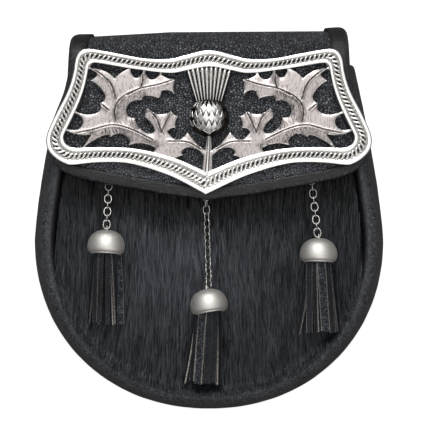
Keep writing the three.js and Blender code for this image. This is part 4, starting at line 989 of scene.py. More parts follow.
def fur_support(points, inset):
    """Height of the hide or of the roll under each point."""
    roll = gusset_outer(60)
    crest = roll[roll[:, 1].argmax(), 0]
    rolled = np.where(inset < crest, CREST_Z, np.interp(inset, roll[:, 0], roll[:, 1]))
    hide = hide_z(points[:, 0], points[:, 1])
    return np.where(inset < ROLL_WIDTH, np.maximum(rolled, hide), hide)


def build_front():
    """The hide and the hair on it, combed down and lying in locks over the roll's inner edge."""
    rim = bag_outline(300)
    rim = rim + right_of(rim) * (ROLL_WIDTH + FIT)
    rim = rim[rim[:, 1] < MOUTH_Y]
    mouth = np.linspace(rim[-1], rim[0], 40)[1:-1]
    outline = np.vstack([rim, mouth])
    shares = (0.02, 0.2, 0.4, 0.6, 0.75, 0.87, 0.95, 1)
    face = [at_height(outline * share, hide_z(*(outline * share).T)) for share in shares]
    under = [ring - [0, 0, HIDE_WALL] for ring in face]
    build = Build()
    build.loft(under + face[::-1])
    hide = build.piece("front_hide", hair_material("Fur hide", 900.0), key="tone")
    place(hide, "fur", "front_panel")
    for half, seed in ((1, 11), (2, 12)):
        place(fur_locks(f"fur_{half}", seed, settings().fur_count // 2), "fur")


def fur_locks(name, seed, count):
    """A piece of hair: tapering ribbons, combed down and drawn together into locks."""
    rng = np.random.default_rng(seed)
    length = settings().fur_length / MM
    spots = rng.uniform(*FUR_ROOTS, (int(count * 1.9), 2))
    spots = spots[front_region(spots) > ROLL_WIDTH + FUR_MARGIN]
    keep = (spots[:, 1] < FUR_THINS_Y) | (rng.random(len(spots)) < 0.35)
    roots = spots[keep][:count]
    count = len(roots)
    locks = rng.uniform(*LOCK_MIDDLES, (LOCKS, 2))
    own, _ = nearest(locks, roots)
    lock_lean, lock_tone = rng.normal(0, 0.1, len(locks)), rng.random(len(locks))
    x, y = roots.T
    low = np.clip(-y / BAG_DROP, 0, 1)
    lean = (
        0.05 * np.sin(x / 19 + 1.2) * np.cos(y / 27) + 0.03 * np.sin(x / 7 + y / 33)
        + 0.006 * x * low + 0.6 * lock_lean[own] + rng.normal(0, 0.045, count)
    )
    # Hair that would hang out over the roll is cut back, and left out where that makes it too short
    reach = length * rng.uniform(0.6, 1.25, count)
    limit = 9.6 - 3.4 * np.minimum(1, 1.5 * low) + rng.normal(0, 0.8, count)
    for _ in range(7):
        tips = np.stack([x + np.sin(lean) * reach, y - np.cos(lean) * reach], -1)
        reach = np.where(front_region(tips) < limit, 0.82 * reach, reach)
    grown = reach > 0.42 * length
    x, y, lean, reach, low, own = (v[grown] for v in (x, y, lean, reach, low, own))
    count = len(x)

    share = np.linspace(0, 1, 5)
    bend = (rng.normal(0, 0.4, count) * reach / length)[:, None] * share**2
    pull = (0.15 * (locks[own, 0] - x) * reach / length)[:, None] * share
    px = x[:, None] + np.sin(lean)[:, None] * reach[:, None] * share + bend + pull
    py = y[:, None] - np.cos(lean)[:, None] * reach[:, None] * share
    flat = np.stack([px.ravel(), py.ravel()], -1)
    inset = front_region(flat).reshape(px.shape)
    support = fur_support(flat, inset.ravel()).reshape(px.shape)
    height = rng.uniform(0.1, 1.0, count)[:, None] * np.sin(math.pi * np.minimum(1, 0.12 + share * 0.72))
    over = 0.35 + 0.5 * (inset < ROLL_WIDTH)
    z = np.minimum(support + height + over * share - 0.3 * (share == 0), CREST_Z + FUR_ABOVE_ROLL)
    wide = (0.2 * (1 - share**2.2) + 0.03) * rng.uniform(0.7, 1.3, count)[:, None]
    roll = rng.normal(0, 0.5, count)[:, None]
    side = np.stack([np.cos(roll) * wide, np.zeros_like(wide), np.sin(roll) * wide], -1)
    middle = np.stack([px, py, z], -1)
    ribbon = np.stack([middle - side, middle + side], 2)
    quads = np.array([[2 * k, 2 * k + 1, 2 * k + 3, 2 * k + 2] for k in range(len(share) - 1)])
    faces = (np.arange(count) * 2 * len(share))[:, None, None] + quads

    # Painted highlight makes the hair lighter left of the middle and painted shadow darkens it under the flap;
    # a few grey hairs lower down are the fur's own colour
    painted_light_on_hair = 0.5 + 0.8 * np.exp(-(((x + 16) / 48) ** 2) - ((y + 4) / 42) ** 2)
    painted_light_on_hair *= np.clip((flap_lower_edge(x) - y) / 13, 0.02, 1)
    fleck = 0.5 * (rng.random(count) > 0.985) * (y < 0)
    tone = np.clip((0.24 * lock_tone[own] + 0.16 + 0.55 * rng.random(count) ** 1.3 + fleck) * painted_light_on_hair, 0, 1)
    tone = np.repeat(tone[:, None] * (0.6 + 0.4 * share), 2, axis=1)
    return mesh_piece(
        name, ribbon, faces.reshape(-1, 4).tolist(), hair_material("Fur hair", 1300.0),
        closed=False, tone=tone,
    )


def build_flap():
    """The pebbled panel of the flap, from its tail over the fold to the groove of the binding."""
    across = np.linspace(-1, 1, 150)
    fold = np.linspace(FOLD_FRONT_Y + FOLD_RUN[-1], FOLD_FRONT_Y, 110, endpoint=False)
    down = np.linspace(0, 1, 70)
    end = flap_lower_edge(across * (FLAP_HALF - PANEL_INSET)) + PANEL_INSET * 1.15
    runs = np.vstack([
        np.repeat(fold[:, None], len(across), 1),
        FOLD_FRONT_Y + (end - FOLD_FRONT_Y)[None] * down[:, None],
    ])
    x = across[None] * (flap_half_width(runs) - PANEL_INSET)
    top = flap_points(x, runs, FLAP_WALL / 2)
    under = flap_points(x, runs, -FLAP_WALL / 2)[:, ::-1]
    # Painted sheen: the pebbles are lightened over the fold, and most in a band just above the lower edge
    low = 1.5 + 4.2 * bell(runs - flap_lower_edge(x) - 5, 6)
    painted_sheen = np.where(runs > FOLD_FRONT_Y, 1.1, low)
    build = Build()
    build.loft(np.concatenate([top, under], 1), value=np.concatenate([painted_sheen, 0 * painted_sheen], 1))
    panel = build.piece("flap_leather", pebbled_leather(), key="painted_sheen", sharp=60)
    place(panel, "pebbled_leather", "flap_panel")


def flap_edge():
    """The flap's edge as (x, run), from behind the fold's right end round to behind its left end."""
    behind = slice(FOLD_STEPS, 2 * FOLD_STEPS - 2)
    last = FOLD_FRONT_Y + np.interp(0, FOLD_TOP_Y - EAR_DEPTH - FOLD_LINE[behind, 0], FOLD_RUN[behind])
    fold = np.linspace(last, FOLD_FRONT_Y, 24, endpoint=False)
    side = np.linspace(FOLD_FRONT_Y, FLAP_CORNER_Y + 1, 30, endpoint=False)
    runs = np.concatenate([fold, side])
    upper = np.stack([flap_half_width(runs), runs], -1)
    rows = np.array(FLAP_EDGE)[::-1] * [FLAP_HALF, FLAP_CORNER_Y - FLAP_TIP_Y] + [0, FLAP_TIP_Y]
    half = np.vstack([upper, catmull(rows, 6)])
    return resample(np.vstack([half, half[-2::-1] * [-1, 1]]), 420)


def build_binding():
    """The smooth binding round the flap: a fold of leather over the panel's edge."""
    edge = flap_edge()
    middleness = np.clip(1 - np.abs(edge[:, 0]) / FLAP_HALF, 0, 1)
    rise = np.clip((edge[:, 1] - FLAP_CORNER_Y - 14) / 18, 0, 1)
    widths = BINDING_WIDTH + np.where(
        edge[:, 1] > FLAP_CORNER_Y, 4.3 * rise, 0.9 * np.minimum(1, 6 * middleness),
    )
    turn = np.linspace(math.pi / 2, -math.pi / 2, 15)
    nose = np.stack([BINDING_NOSE - BINDING_NOSE * np.cos(turn), BINDING_HALF * np.sin(turn)], -1)
    open_at = FLAP_WALL / 2 + BINDING_ROUNDING
    rings, painted_sheen = [], []
    for (x, run), into, wide in zip(edge, right_of(edge), widths):
        upper = [
            (wide, open_at), (wide, BINDING_HALF - BINDING_ROUNDING), (wide - 0.4, BINDING_HALF - 0.08),
            (0.74 * wide, BINDING_HALF), (0.62 * wide, BINDING_HALF),
        ]
        lower = [
            (wide - 0.4, 0.08 - BINDING_HALF), (wide, BINDING_ROUNDING - BINDING_HALF), (wide, -open_at),
        ]
        section = np.vstack([upper, nose, lower, [(1.5, -open_at), (1.5, open_at)]])
        inset, height = section.T
        rings.append(flap_points(x + into[0] * inset, run + into[1] * inset, height))
        # Painted sheen: a light line near the binding's outer edge on its front face, a little weaker above the
        # corners, over a faint even sheen
        rubbed = 0.75 * bell(inset - 0.9, 0.9) + 0.03
        painted_sheen.append(rubbed * (height > 0.9) * (1 if run < FLAP_CORNER_Y else 0.85))
    build = Build()
    build.loft(rings, value=np.array(painted_sheen))
    binding = build.piece("flap_edge_binding", smooth_leather(), key="painted_sheen", sharp=55)
    place(binding, "smooth_leather", "flap_binding")


def window_outline(rows, side, spacing):
    """A window's outline in millimetres: its corners joined by arcs."""
    corners = plate_xy([row[:2] for row in rows])
    points = []
    for start, end, (_, _, bow) in zip(corners, np.roll(corners, -1, 0), rows):
        chord = end - start
        steps = max(1, int(np.linalg.norm(chord) * (1 + 2 * bow**2) / spacing))
        share = np.linspace(0, 1, steps, endpoint=False)[:, None]
        points.append(start + chord * share + np.array([chord[1], -chord[0]]) * 4 * bow * share * (1 - share))
    return np.vstack(points) * [side, 1]


def inside(points, polygon):
    """Which points lie inside a closed flat outline."""
    x, y = points[:, :1], points[:, 1:]
    x1, y1 = polygon.T
    x2, y2 = np.roll(polygon, -1, 0).T
    crosses = ((y1 > y) != (y2 > y)) & (x < (x2 - x1) * (y - y1) / np.where(y2 == y1, 1e-9, y2 - y1) + x1)
    return crosses.sum(1) % 2 == 1


def in_sheet(points, loops):
    """Which points lie inside the first loop and outside the others."""
    kept = inside(points, loops[0])
    for hole in loops[1:]:
        kept &= ~inside(points, hole)
    return kept


def distance_to(points, lines, closed):
    """Shortest distance from each point to any of the lines."""
    best = np.full(len(points), 1e9)
    batch = 4000
    for line in lines:
        start = line if closed else line[:-1]
        chord = (np.roll(line, -1, 0) if closed else line[1:]) - start
        size = np.maximum((chord**2).sum(1), 1e-12)
        for k in range(0, len(points), batch):
            some = points[k:k + batch, None] - start[None]
            share = np.clip((some * chord[None]).sum(2) / size, 0, 1)
            gap = np.linalg.norm(some - share[..., None] * chord[None], axis=2).min(1)
            best[k:k + batch] = np.minimum(best[k:k + batch], gap)
    return best


def triangulate(loops, extra):
    """A flat sheet of triangles with holes: its points and its corners' numbers."""
    edges, first = [], 0
    for loop in loops:
        edges += [(first + k, first + (k + 1) % len(loop)) for k in range(len(loop))]
        first += len(loop)
    made = delaunay_2d_cdt([Vector(p) for p in np.vstack([*loops, extra])], edges, [], 0, 1e-5)
    flat = np.array([tuple(p) for p in made[0]])
    faces = np.array([f for f in made[2] if len(f) == 3])
    faces = faces[in_sheet(flat[faces].mean(1), loops)]
    used, faces = np.unique(faces, return_inverse=True)
    return flat[used], faces.reshape(-1, 3)


def build_leaves():
    """The pierced leaves: a sheet with rounded edges, engraved veins and edges that curl under."""
    outer, inner = border_lines(420)
    rim = outer + (inner - outer) * 0.86
    holes = [window_outline(rows, side, 0.7) for rows in WINDOWS for side in (1, -1)]
    loops = [rim] + holes
    near = [loop + right_of(loop, True) * (0.28 if loop is rim else -0.28) for loop in loops]
    veins = []
    for line in (catmull(plate_xy(rows), 6) for rows in VEINS):
        veins += [line, line * [-1, 1]]
    for line in veins:
        line = resample(line, max(8, int(np.linalg.norm(line[-1] - line[0]) / 0.45)))
        near += [line + right_of(line) * offset for offset in (-1.1, -0.66, -0.32, 0, 0.32, 0.66, 1.1)]
    grid = np.stack(np.meshgrid(
        np.arange(-PLATE_HALF, PLATE_HALF, LEAF_GRID),
        np.arange(PLATE_TIP_Y, PLATE_TIP_Y + 1.01 * PLATE_HEIGHT, LEAF_GRID),
    ), -1)
    grid[::2, :, 0] += LEAF_GRID / 2
    extra = np.vstack([grid.reshape(-1, 2)] + near)
    extra = extra[in_sheet(extra, loops)]
    extra = extra[distance_to(extra, loops, True) > 0.2]
    flat, faces = triangulate(loops, extra)
    count = len(flat)

    edge_gap = distance_to(flat, holes, True)
    vein_gap = distance_to(flat, veins, False)
    curl = np.zeros(count)
    for rows in CURLS:
        for side in (1, -1):
            curl = np.maximum(curl, inside(flat, plate_xy(rows) * [side, 1]))
    slope = curl * vein_gap / np.maximum(vein_gap + edge_gap, 1e-6)
    cut = bell(vein_gap, VEIN_WIDTH)
    z = PLATE_Z + LEAF_TOP + 0.5 * (1 - np.exp(-edge_gap / 2.2)) - 0.22 * bell(edge_gap, EDGE_ROUNDING)
    z += 0.3 * bell(vein_gap - 0.66, 0.45) - 0.34 * cut - 0.8 * slope
    # Patina in the engraved veins; where a leaf curls under it darkens down the slope, partly patina in the
    # hollow and partly painted shade; a broad painted shade beside the veins
    recess = 0.52 * cut + curl * (0.12 + 0.2 * slope) + 0.2 * np.exp(-vein_gap / 2.0) + 0.09
    # Painted highlights: a light line beside each vein and a light band along the window edges, which also
    # stands for their polish
    recess -= 0.75 * bell(vein_gap - 0.62, 0.25) + 0.9 * bell(edge_gap, 0.34)

    corners = faces.tolist()
    pairs = dict.fromkeys(pair for a, b, c in corners for pair in ((a, b), (b, c), (c, a)))
    walls = [(b, a, a + count, b + count) for a, b in pairs if (b, a) not in pairs]
    under = [(c + count, b + count, a + count) for a, b, c in corners]
    finish = metal("Leaf metal", LEAF_METAL, rough=0.42, grain=1500.0, depth=0.00009, mottle=0.8, brushed=2.4)
    # The plate's underside is made dark
    leaves = mesh_piece(
        "plate_leaves", lean_tip(np.vstack([at_height(flat, z), at_height(flat, PLATE_Z)])),
        corners + under + walls, finish,
        sharp=42, recess=np.concatenate([np.clip(recess, -1, 1), np.full(count, 0.9)]),
    )
    place(leaves, "cast_metal", "plate")


def build_border():
    """The plate's border: two bright rims with a rope of slanting strands between them."""
    outer, inner = border_lines(900)
    section = np.array(BORDER_SECTION)
    rings = [
        np.column_stack([a + (b - a) * section[:, :1], PLATE_Z + section[:, 1]]) for a, b in zip(outer, inner)
    ]
    dark = np.exp(-(((section[:, 0] - ROPE_MIDDLE) / 0.2) ** 8)) + 0.6 * (section[:, 1] == 0)
    build = Build()
    build.loft(lean_tip(rings), looped=True, value=dark[None])
    turn = full_turn(16)
    post_ends = (FRONT_Z + FLAP_WALL / 2 + FIT, PLATE_Z + 0.4)
    for side in (-1, 1):
        for out_x, out_y, in_x, in_y in (PLATE_BORDER[5], PLATE_BORDER[23]):
            x, y = plate_xy(((out_x + 2 * in_x) / 3, (out_y + 2 * in_y) / 3))
            post = np.stack([side * x + POST_RADIUS * np.cos(turn), y + POST_RADIUS * np.sin(turn)], -1)
            build.loft([at_height(post, z) for z in post_ends], value=0.8)
    finish = cast_metal("Border metal", 0.24, depth=0.000015, mottle=0.1)
    place(build.piece("plate_border", finish, sharp=50), "cast_metal")

    middle = outer + (inner - outer) * ROPE_MIDDLE
    count = int(run_along(np.vstack([middle, middle[:1]]))[-1] / (settings().rope_pitch / MM))
    spots = resample(middle, count, True)
    cross = right_of(spots, True)
    along = np.stack([-cross[:, 1], cross[:, 0]], -1)
    width = np.linalg.norm(inner - outer, axis=1)
    width = np.interp(np.arange(count), np.arange(len(width)) * count / len(width), width)
    share = np.linspace(-0.97, 0.97, 11)
    fat = np.sqrt(1 - share**2) ** 0.5
    turn = full_turn(10)
    rope = Build()
    for spot, a, c, wide in zip(spots, along, cross, width):
        line = a * (np.sign(share) * np.abs(share) ** 1.6 * 0.2 * wide)[:, None]
        line -= c * (np.sin(share * math.pi / 2) * 0.14 * wide)[:, None]
        round_part = np.cos(turn)[None, :, None] * 0.078 * wide * fat[:, None, None]
        ring = (spot + line)[:, None] + right_of(line)[:, None] * round_part
        z = PLATE_Z + 1.5 + 0.95 * fat[:, None] * np.sin(turn)[None]
        strand = lean_tip(np.concatenate([ring, z[..., None]], -1))
        # Painted shade on the underside of each strand
        rope.loft(strand, value=0.6 * (1 - np.sin(turn))[None] ** 1.5)
    place(rope.piece("plate_rope", cast_metal("Rope metal", 0.26, depth=0.00002, mottle=0.1)), "cast_metal")


def thistle_bulb():
    """The bulb: rows of pointed scales that lift towards their tips, and a star of rays."""
    tilt = np.linspace(-math.pi / 2, math.pi / 2, 130)[:, None]
    turn = np.linspace(-0.06, math.pi + 0.06, 150)[None]
    v = (np.sin(tilt) + 1) / 2 * SCALE_ROWS + 0 * turn
    u = turn / math.pi * SCALES_ROUND + 0 * tilt
    rise, low, row = np.zeros_like(v), np.full_like(v, -0.6), np.zeros_like(v)
    for k in range(6):
        tooth = np.abs(2 * ((u + 0.5 * (k % 2)) % 1) - 1)
        high = k + 0.02 + 0.78 * (1 - tooth)
        here = (v >= low) & (v < high)
        rise = np.where(here, (v - low) / np.maximum(0.2, high - low), rise)
        row = np.where(here, k, row)
        low = high
    size = 1 + 0.045 * rise
    round_part = np.cos(tilt)
    x = BULB_RADIUS * round_part * np.cos(turn) * size
    y = BULB_Y + BULB_RADIUS * np.sin(tilt) * (0.6 + 0.4 * size) + 0 * turn
    z = BULB_RISE * round_part * np.sin(turn) * size
    shell = np.stack([x, y, PLATE_Z + 0.5 + z], -1)
    out = np.hypot(round_part * np.cos(turn), np.sin(tilt) * 0.86)
    # Painted shadow at the foot of each row of scales, painted shade towards the bulb's sides and a painted
    # highlight on the scales' tips on the left; the crown row and the lowest row are made dark
    light_edge = 0.8 * (rise > 0.75) * (x < 0)
    dark = 1.15 * bell(rise, 0.3) + (0.92 - light_edge) * np.clip((out - 0.66) / 0.14, 0, 1) - 0.12
    dark = np.where(row > 3, 0.95, np.where(row < 1, 0.85, dark))
    floor = shell[:, ::-1][:, ::10].copy()
    floor[..., 2] = PLATE_Z
    build = Build()
    build.loft(np.concatenate([shell, floor], 1), value=np.concatenate([dark, np.ones(floor.shape[:2])], 1))
    share = np.linspace(0, 1, 7)
    for angle in RAY_ANGLES:
        reach = 4.8 if angle == 0 else 4.2
        ray_x = reach * np.sin(math.radians(angle)) * share
        ray_y = BULB_Y - 8.3 + reach * np.cos(math.radians(angle)) * share
        off = np.minimum(1, np.hypot(ray_x / BULB_RADIUS, (ray_y - BULB_Y) / 9.5))
        path = np.stack([ray_x, ray_y, PLATE_Z + 0.9 + 8.5 * np.sqrt(1 - off**2)], -1)
        build.loft(tube_rings(path, RAY_RADIUS * (1.02 - share), 8), value=-0.4)
    place(build.piece("thistle_bulb", cast_metal("Bulb metal", 0.34, mottle=0.1), sharp=50), "cast_metal")


def thistle_tuft():
    """The tuft: ribs fanned out above the bulb, on a plinth that closes the gaps between them."""
    neck_y, top_y = BULB_Y + 7.6, PLATE_TIP_Y + 0.885 * PLATE_HEIGHT
    share = np.linspace(0, 1, 14)
    sides = 12
    # Painted shade on the underside of each rib
    painted_underside_shade = 0.9 * np.clip(0.75 - np.sin(full_turn(sides)), 0, 1)[None]
    fat = (0.5 + 0.46 * share) * np.minimum(1, 9 * (1.02 - share)) ** 0.5
    build = Build()
    for k in range(TUFT_RIBS):
        off = (k + 0.5) / TUFT_RIBS * 2 - 1
        x = off * (6.6 + 5.4 * share)
        y = neck_y + (top_y + 0.2 - 2.1 * off**2 - neck_y) * share
        z = PLATE_Z + 2.6 - 0.9 * off**2 - 0.5 * share
        rings = tube_rings(np.stack([x, y, z], -1), fat, sides)
        rings[..., 2] = z[:, None] + (rings[..., 2] - z[:, None]) * 1.5
        build.loft(rings, value=0.5 * (1 - share)[:, None] ** 3 + painted_underside_shade)
    plinth = resample([
        (-6.7, neck_y - 1), (-11.7, top_y - 1.9), (0, top_y + 0.6), (11.7, top_y - 1.9), (6.7, neck_y - 1),
    ], 60, True)
    # The plinth between the ribs is made dark, as painted shade in the gaps
    build.loft([at_height(plinth, PLATE_Z + z) for z in (0.0, 1.9)], value=0.82)
    place(build.piece("thistle_tuft", cast_metal("Tuft metal", 0.24)), "cast_metal")


def thistle_stem():
    """The stem: an arched bar that widens down to the border's tip."""
    share = np.linspace(0, 1, 20)[:, None]
    arch = np.linspace(0, math.pi, 9)[None]
    top_y, foot_y = BULB_Y - 9, PLATE_TIP_Y + 0.13 * PLATE_HEIGHT
    rings = np.stack([
        (0.75 + 1.0 * share**1.4) * np.cos(arch), top_y + (foot_y - top_y) * share + 0 * arch,
        PLATE_Z + 0.2 + (2.9 - 0.5 * share) * np.sin(arch) ** 0.8,
    ], -1)
    build = Build()
    # Painted shade along the sides of the arched stem
    build.loft(lean_tip(rings), value=0.3 * np.abs(np.cos(arch)) ** 3)
    place(build.piece("thistle_stem", cast_metal("Stem metal", 0.26)), "cast_metal")


def build_thistle():
    """The thistle: a bulb of pointed scales, a fan of ribs and a stem."""
    thistle_bulb()
    thistle_tuft()
    thistle_stem()


def solid_points(node):
    """The corners of a solid, in millimetres."""
    return np.array([v.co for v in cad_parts[node].data.vertices]) / MM


def principal_axes(node):
    """A solid's middle and its axes from its longest to its thinnest, in millimetres."""
    points = solid_points(node)
    _, axes = np.linalg.eigh(np.cov((points - points.mean(0)).T))
    return (points.min(0) + points.max(0)) / 2, axes[:, ::-1].T


def build_chains():
    """The chains: oval links of round wire where the solid links are, and the eyes that hold them."""
    turn = full_turn(28)
    c, s = np.cos(turn), np.sin(turn)
    half_length, half_width = LINK_HALF
    oval = np.stack([
        np.sign(c) * np.abs(c) ** 0.8 * half_length, np.sign(s) * np.abs(s) ** 0.9 * half_width, 0 * turn,
    ], -1)
    link = tube_rings(oval, LINK_WIRE, 9, closed=True)
    arch = np.linspace(-0.25, math.pi + 0.25, 20)
    for name, links, *_ in DROPS:
        build = Build()
        nodes = [f"chain_{name}_link_{k + 1:02d}" for k in range(links)]
        for node in nodes:
            middle, axes = principal_axes(node)
            build.loft(middle + link @ axes, looped=True)
        low, high = cad_box(f"chain_eye_{name}")
        x, y, _ = (low + high) / 2
        foot = np.stack([c, s, 0 * turn], -1)
        # The eye is made dark, as painted shadow where it sits under the flap
        build.loft([foot * [r, r, 1] + [x, y, low[2] + z] for r, z in EYE_FOOT], value=1.0)
        path = np.stack([
            x + 0 * arch, y + EYE_RADIUS * np.cos(arch), low[2] + 1.1 + EYE_RADIUS * np.sin(arch),
        ], -1)
        build.loft(tube_rings(path, EYE_WIRE, 9, up=(1, 0, 0)), value=0.9)
        place(build.piece(f"chain_{name}", bright_metal()), "wire_metal", f"chain_eye_{name}", *nodes)


def cap_frame(name, tilt):
    """A cap's mouth centre and its axes across, up to the crown, and out, in millimetres."""
    turn = math.radians(tilt)
    across, up = np.array((math.cos(turn), math.sin(turn), 0)), np.array((-math.sin(turn), math.cos(turn), 0))
    points = solid_points(f"tassel_cap_{name}")
    along = points @ up
    rim = points[along < along.min() + 0.01]
    return rim.mean(0), np.array([across, up, np.cross(across, up)])


def rotated(axes, degrees, about):
    """Axes turned about another one."""
    turn = Matrix.Rotation(math.radians(degrees), 3, about)
    return np.array([turn @ Vector(axis) for axis in axes])


def build_caps():
    """The domed caps, satin rubbed, each with a ring through its crown."""
    size = [CAP_RADIUS, CAP_HEIGHT]
    outside, within = 40, 20
    profile = np.vstack([
        resample(catmull(np.array(CAP_OUTSIDE) * size), outside),
        resample(catmull(np.array(CAP_WITHIN) * size), within),
    ])
    dome = turned_rings(profile, 64)
    # Painted shade inside the cap
    dark = np.array([0.0] * outside + [0.9] * within)[:, None]
    turn = full_turn(64)
    c, s = np.cos(turn), np.sin(turn)
    bail = np.stack([0 * turn, CAP_HEIGHT + 0.2 + BAIL_RADIUS * s, BAIL_RADIUS * c], -1)[::2]
    bail = tube_rings(bail, BAIL_WIRE, 8, True, up=(1, 0, 0))
    lip = np.stack([LIP_RADIUS * c, 0 * turn - 0.2, LIP_RADIUS * s], -1)
    lip = tube_rings(lip, LIP_WIRE, 8, True, up=(0, 1, 0))
    finish = metal("Satin nickel", SATIN_METAL, rough=0.55, dark_share=0.8, grain=1500.0, depth=0.00005)
    for name, _, tilt, _, _, turned, nod in DROPS:
        mouth, axes = cap_frame(name, tilt)
        middle = mouth + axes[1] * CAP_HEIGHT / 2
        axes = rotated(axes, turned, "Z")
        axes = rotated(axes, -nod, Vector(axes[0]))
        mouth = middle - axes[1] * CAP_HEIGHT / 2
        build = Build()
        for rings, value in ((dome, dark), (bail, 0.2), (lip, -0.3)):
            build.loft(mouth + rings @ axes, looped=True, value=value)
        place(build.piece(f"cap_{name}", finish), "satin_metal", f"tassel_cap_{name}")


def build_tassels():
    """The tassels: cut strips fanned out of each cap, curved in section and lying on the fur."""
    share = np.linspace(0, 1, 14)
    head = turned_rings(((6.2, 0.6), (7.4, 4.3)), 24)
    cut = np.abs(np.array(STRIP_SECTION)[:, 0]) > 0.9
    strips = [(2 * math.pi * (k + 0.5) / OUTER_STRIPS, 1.0) for k in range(OUTER_STRIPS)]
    strips += [(2 * math.pi * k / INNER_STRIPS + 0.4, 0.5) for k in range(INNER_STRIPS)]
    for number, (name, _, tilt, splay, rough_strip, *_) in enumerate(DROPS):
        rng = np.random.default_rng(40 + number)
        mouth, axes = cap_frame(name, tilt)
        build = Build()
        for order, (angle, reach) in enumerate(strips):
            c, s = math.cos(angle), math.sin(angle)
            length = STRIP_LENGTH + rng.uniform(-1.2, 0.6)
            half_width = (4.6 if order == rough_strip else rng.uniform(2.4, 3.8)) / 2
            down = STRIP_HIDDEN - (length + STRIP_HIDDEN) * share
            gone = np.clip(-down / length, 0, 1)
            spread = reach * (STRIP_RING + STRIP_FLARE * gone**0.6)
            left_most = reach == 1 and c < -0.9
            x = c * spread + rng.normal(0, 0.4) * gone + (splay * gone**2 if left_most else 0)
            path = mouth + np.stack([x, down, s * spread], -1) @ axes
            lying = hide_z(path[:, 0], path[:, 1]) + TASSEL_LIFT + (1 + s * reach) / 2 * TASSEL_DEPTH
            path[:, 2] += (lying - path[:, 2]) * np.minimum(1, 1.35 * gone)
            along = unit(np.gradient(path, axis=0))
            face = unit(np.array((c * 0.8, 0, s + 0.35)) @ axes)
            across = unit(np.cross(along, face))
            twist = (rng.normal(0, 0.55) * (0.3 + 0.7 * gone))[:, None]
            across = across * np.cos(twist) + np.cross(across, along) * np.sin(twist)
            normal = np.cross(across, along)
            rings = np.stack([
                path + across * a * half_width + normal * b * STRIP_HALF_THICKNESS for a, b in STRIP_SECTION
            ], 1)
            suede = 2 if order in (rough_strip, rough_strip + 6) else 0
            first_edge, second_edge = rng.choice([0.18, 0.5, 1.0], 2)
            pale = np.where(np.array(STRIP_SECTION)[:, 0] < 0, first_edge, second_edge)
            build.loft(rings, value=np.where(cut, pale, suede)[None])
        build.loft(mouth + head @ axes)
        tassel = build.piece(f"strips_{name}", strip_material(), key="edge", sharp=50)
        place(tassel, "tassel_leather", f"tassel_{name}")


def build_straps():
    """The folded tabs with rounded edges, and the rings for the strap."""
    for name in ("left", "right"):
        low, high = cad_box(f"strap_tab_{name}")
        ring_low, ring_high = cad_box(f"strap_ring_{name}")
        bar_x, _, bar_z = (ring_low + ring_high) / 2
        bar_y, end_y = high[1] - TAB_FOLD_RADIUS, low[1]
        turn = np.linspace(math.radians(-157), math.radians(100), 26)
        fold = np.stack([bar_y + TAB_FOLD_RADIUS * np.cos(turn), bar_z + TAB_FOLD_RADIUS * np.sin(turn)], -1)
        section = np.vstack([
            [(end_y, 2.5), (end_y + 0.2, 2.3)], fold,
            [(bar_y - 3.2, 5.5), (end_y + 0.3, 5.3), (end_y, 5.0)],
        ])
        middle = section.mean(0)
        build = Build()
        build.loft([
            np.insert(middle + (section - middle) * [1 - (1 - grow) * 0.3, grow], 0, x, axis=1)
            for x, grow in ((low[0], 0.93), (low[0] + 0.35, 1.0), (high[0] - 0.35, 1.0), (high[0], 0.93))
        ])
        tab = build.piece(f"tab_{name}", smooth_leather(), sharp=50)
        place(tab, "smooth_leather", f"strap_tab_{name}")
        angle = np.linspace(0, math.pi, 50)
        bow = (0.25 + 0.75 * np.sin(angle)) * RING_DROP * (np.sin(angle) > 1e-6)
        path = np.stack([RING_HALF * np.cos(angle), bow, 0 * angle], -1)
        path = resample(np.vstack([path, path[:1]]), 90)[:-1] + [bar_x, bar_y, bar_z]
        ring = Build()
        ring.loft(tube_rings(path, RING_WIRE, 12, closed=True), looped=True)
        place(ring.piece(f"ring_{name}", bright_metal()), "wire_metal", f"strap_ring_{name}")


def build_stud():
    """The hidden stud keeps its solid and gets a satin metal finish."""
    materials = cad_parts["closure_stud"].data.materials
    materials.clear()
    materials.append(metal("Stud metal", STUD_METAL, rough=0.3))


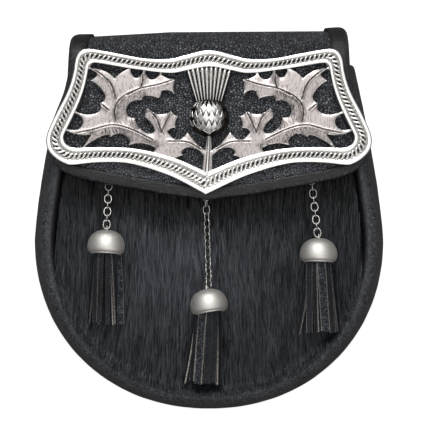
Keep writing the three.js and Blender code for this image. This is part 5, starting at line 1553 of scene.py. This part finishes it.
def build_stage():
    """The pale floor, the soft light and the camera straight above."""
    scene = bpy.context.scene
    corners = np.array([(-1, -1), (1, -1), (1, 1), (-1, 1)]) * FLOOR_HALF
    floor = mesh_piece("floor", at_height(corners, FLOOR_Z), [(0, 1, 2, 3)], floor_material(), closed=False)
    world = bpy.data.worlds.new("Studio")
    world.use_nodes = True
    scene.world = world
    tree = world.node_tree
    up = add(tree, "SeparateXYZ", {"Vector": add(tree, "TexCoord").outputs["Generated"]}).outputs["Z"]
    sky = ramp(tree, up, (0.0, 0.03), (0.4, 0.06), (0.7, 0.2), (0.86, 0.5), (0.95, 1.0))
    fill(tree, tree.nodes["Background"], {"Color": sky, "Strength": 1.25})
    for name, spot, power, wide in (
        ("Key light", (-0.1, 1.15, 1.05), 14.0, 0.7),
        ("Fill light", (0.3, -1.0, 1.1), 3.6, 1.0),
    ):
        light = bpy.data.lights.new(name, "AREA")
        light.energy, light.size = power, wide
        lamp = bpy.data.objects.new(name, light)
        lamp.location = spot
        lamp.rotation_euler = (Vector((0, 0.01, 0.03)) - Vector(spot)).to_track_quat("-Z", "Y").to_euler()
        scene.collection.objects.link(lamp)
    camera = bpy.data.cameras.new("Camera")
    camera.sensor_width = 36.0
    camera.lens = camera.sensor_width * CAMERA_DISTANCE / PICTURE_WIDTH
    camera.clip_end = 20.0
    eye = bpy.data.objects.new("Camera", camera)
    eye.location = (*PICTURE_MIDDLE, CAMERA_DISTANCE + PICTURE_Z)
    scene.collection.objects.link(eye)
    scene.camera = eye
    scene.view_settings.view_transform = "Standard"


# Operators and panel


def operator(name, label, build):
    """An operator class that builds one piece or group of like pieces."""

    def execute(self, context):
        build()
        return {"FINISHED"}

    return type(f"SPORRAN_OT_{name}", (bpy.types.Operator,), {
        "__doc__": build.__doc__, "bl_idname": f"sporran.{name}", "bl_label": label,
        "bl_options": {"REGISTER", "UNDO"}, "execute": execute,
    })


OPERATORS = (
    operator("back", "Back", build_back),
    operator("gusset", "Gusset", build_gusset),
    operator("front", "Fur Front", build_front),
    operator("flap", "Flap", build_flap),
    operator("binding", "Flap Binding", build_binding),
    operator("leaves", "Plate Leaves", build_leaves),
    operator("border", "Plate Border", build_border),
    operator("thistle", "Thistle", build_thistle),
    operator("chains", "Chains", build_chains),
    operator("caps", "Tassel Caps", build_caps),
    operator("tassels", "Tassels", build_tassels),
    operator("straps", "Strap Holders", build_straps),
    operator("stud", "Closure Stud", build_stud),
    operator("stage", "Stage", build_stage),
)


class SPORRAN_PT_parts(bpy.types.Panel):
    """Lists the sporran's finishes and pieces."""

    bl_idname = "SPORRAN_PT_parts"
    bl_label = "Sporran"
    bl_space_type = "VIEW_3D"
    bl_region_type = "UI"
    bl_category = "Sporran"

    def draw(self, context):
        for name in SporranSettings.__annotations__:
            self.layout.prop(context.scene.sporran, name)
        for item in OPERATORS:
            self.layout.operator(item.bl_idname)


CLASSES = (SporranSettings, *OPERATORS, SPORRAN_PT_parts)


def register():
    """Makes the settings, the operators and the panel known to Blender."""
    for item in CLASSES:
        bpy.utils.register_class(item)
    bpy.types.Scene.sporran = bpy.props.PointerProperty(type=SporranSettings)


def unregister():
    """Takes them away again."""
    del bpy.types.Scene.sporran
    for item in reversed(CLASSES):
        bpy.utils.unregister_class(item)


def main():
    """Builds every piece in order and writes down the box of the solids and of all that is seen."""
    register()
    for item in OPERATORS:
        group_name, name = item.bl_idname.split(".")
        getattr(getattr(bpy.ops, group_name), name)()


if __name__ == "__main__":
    main()
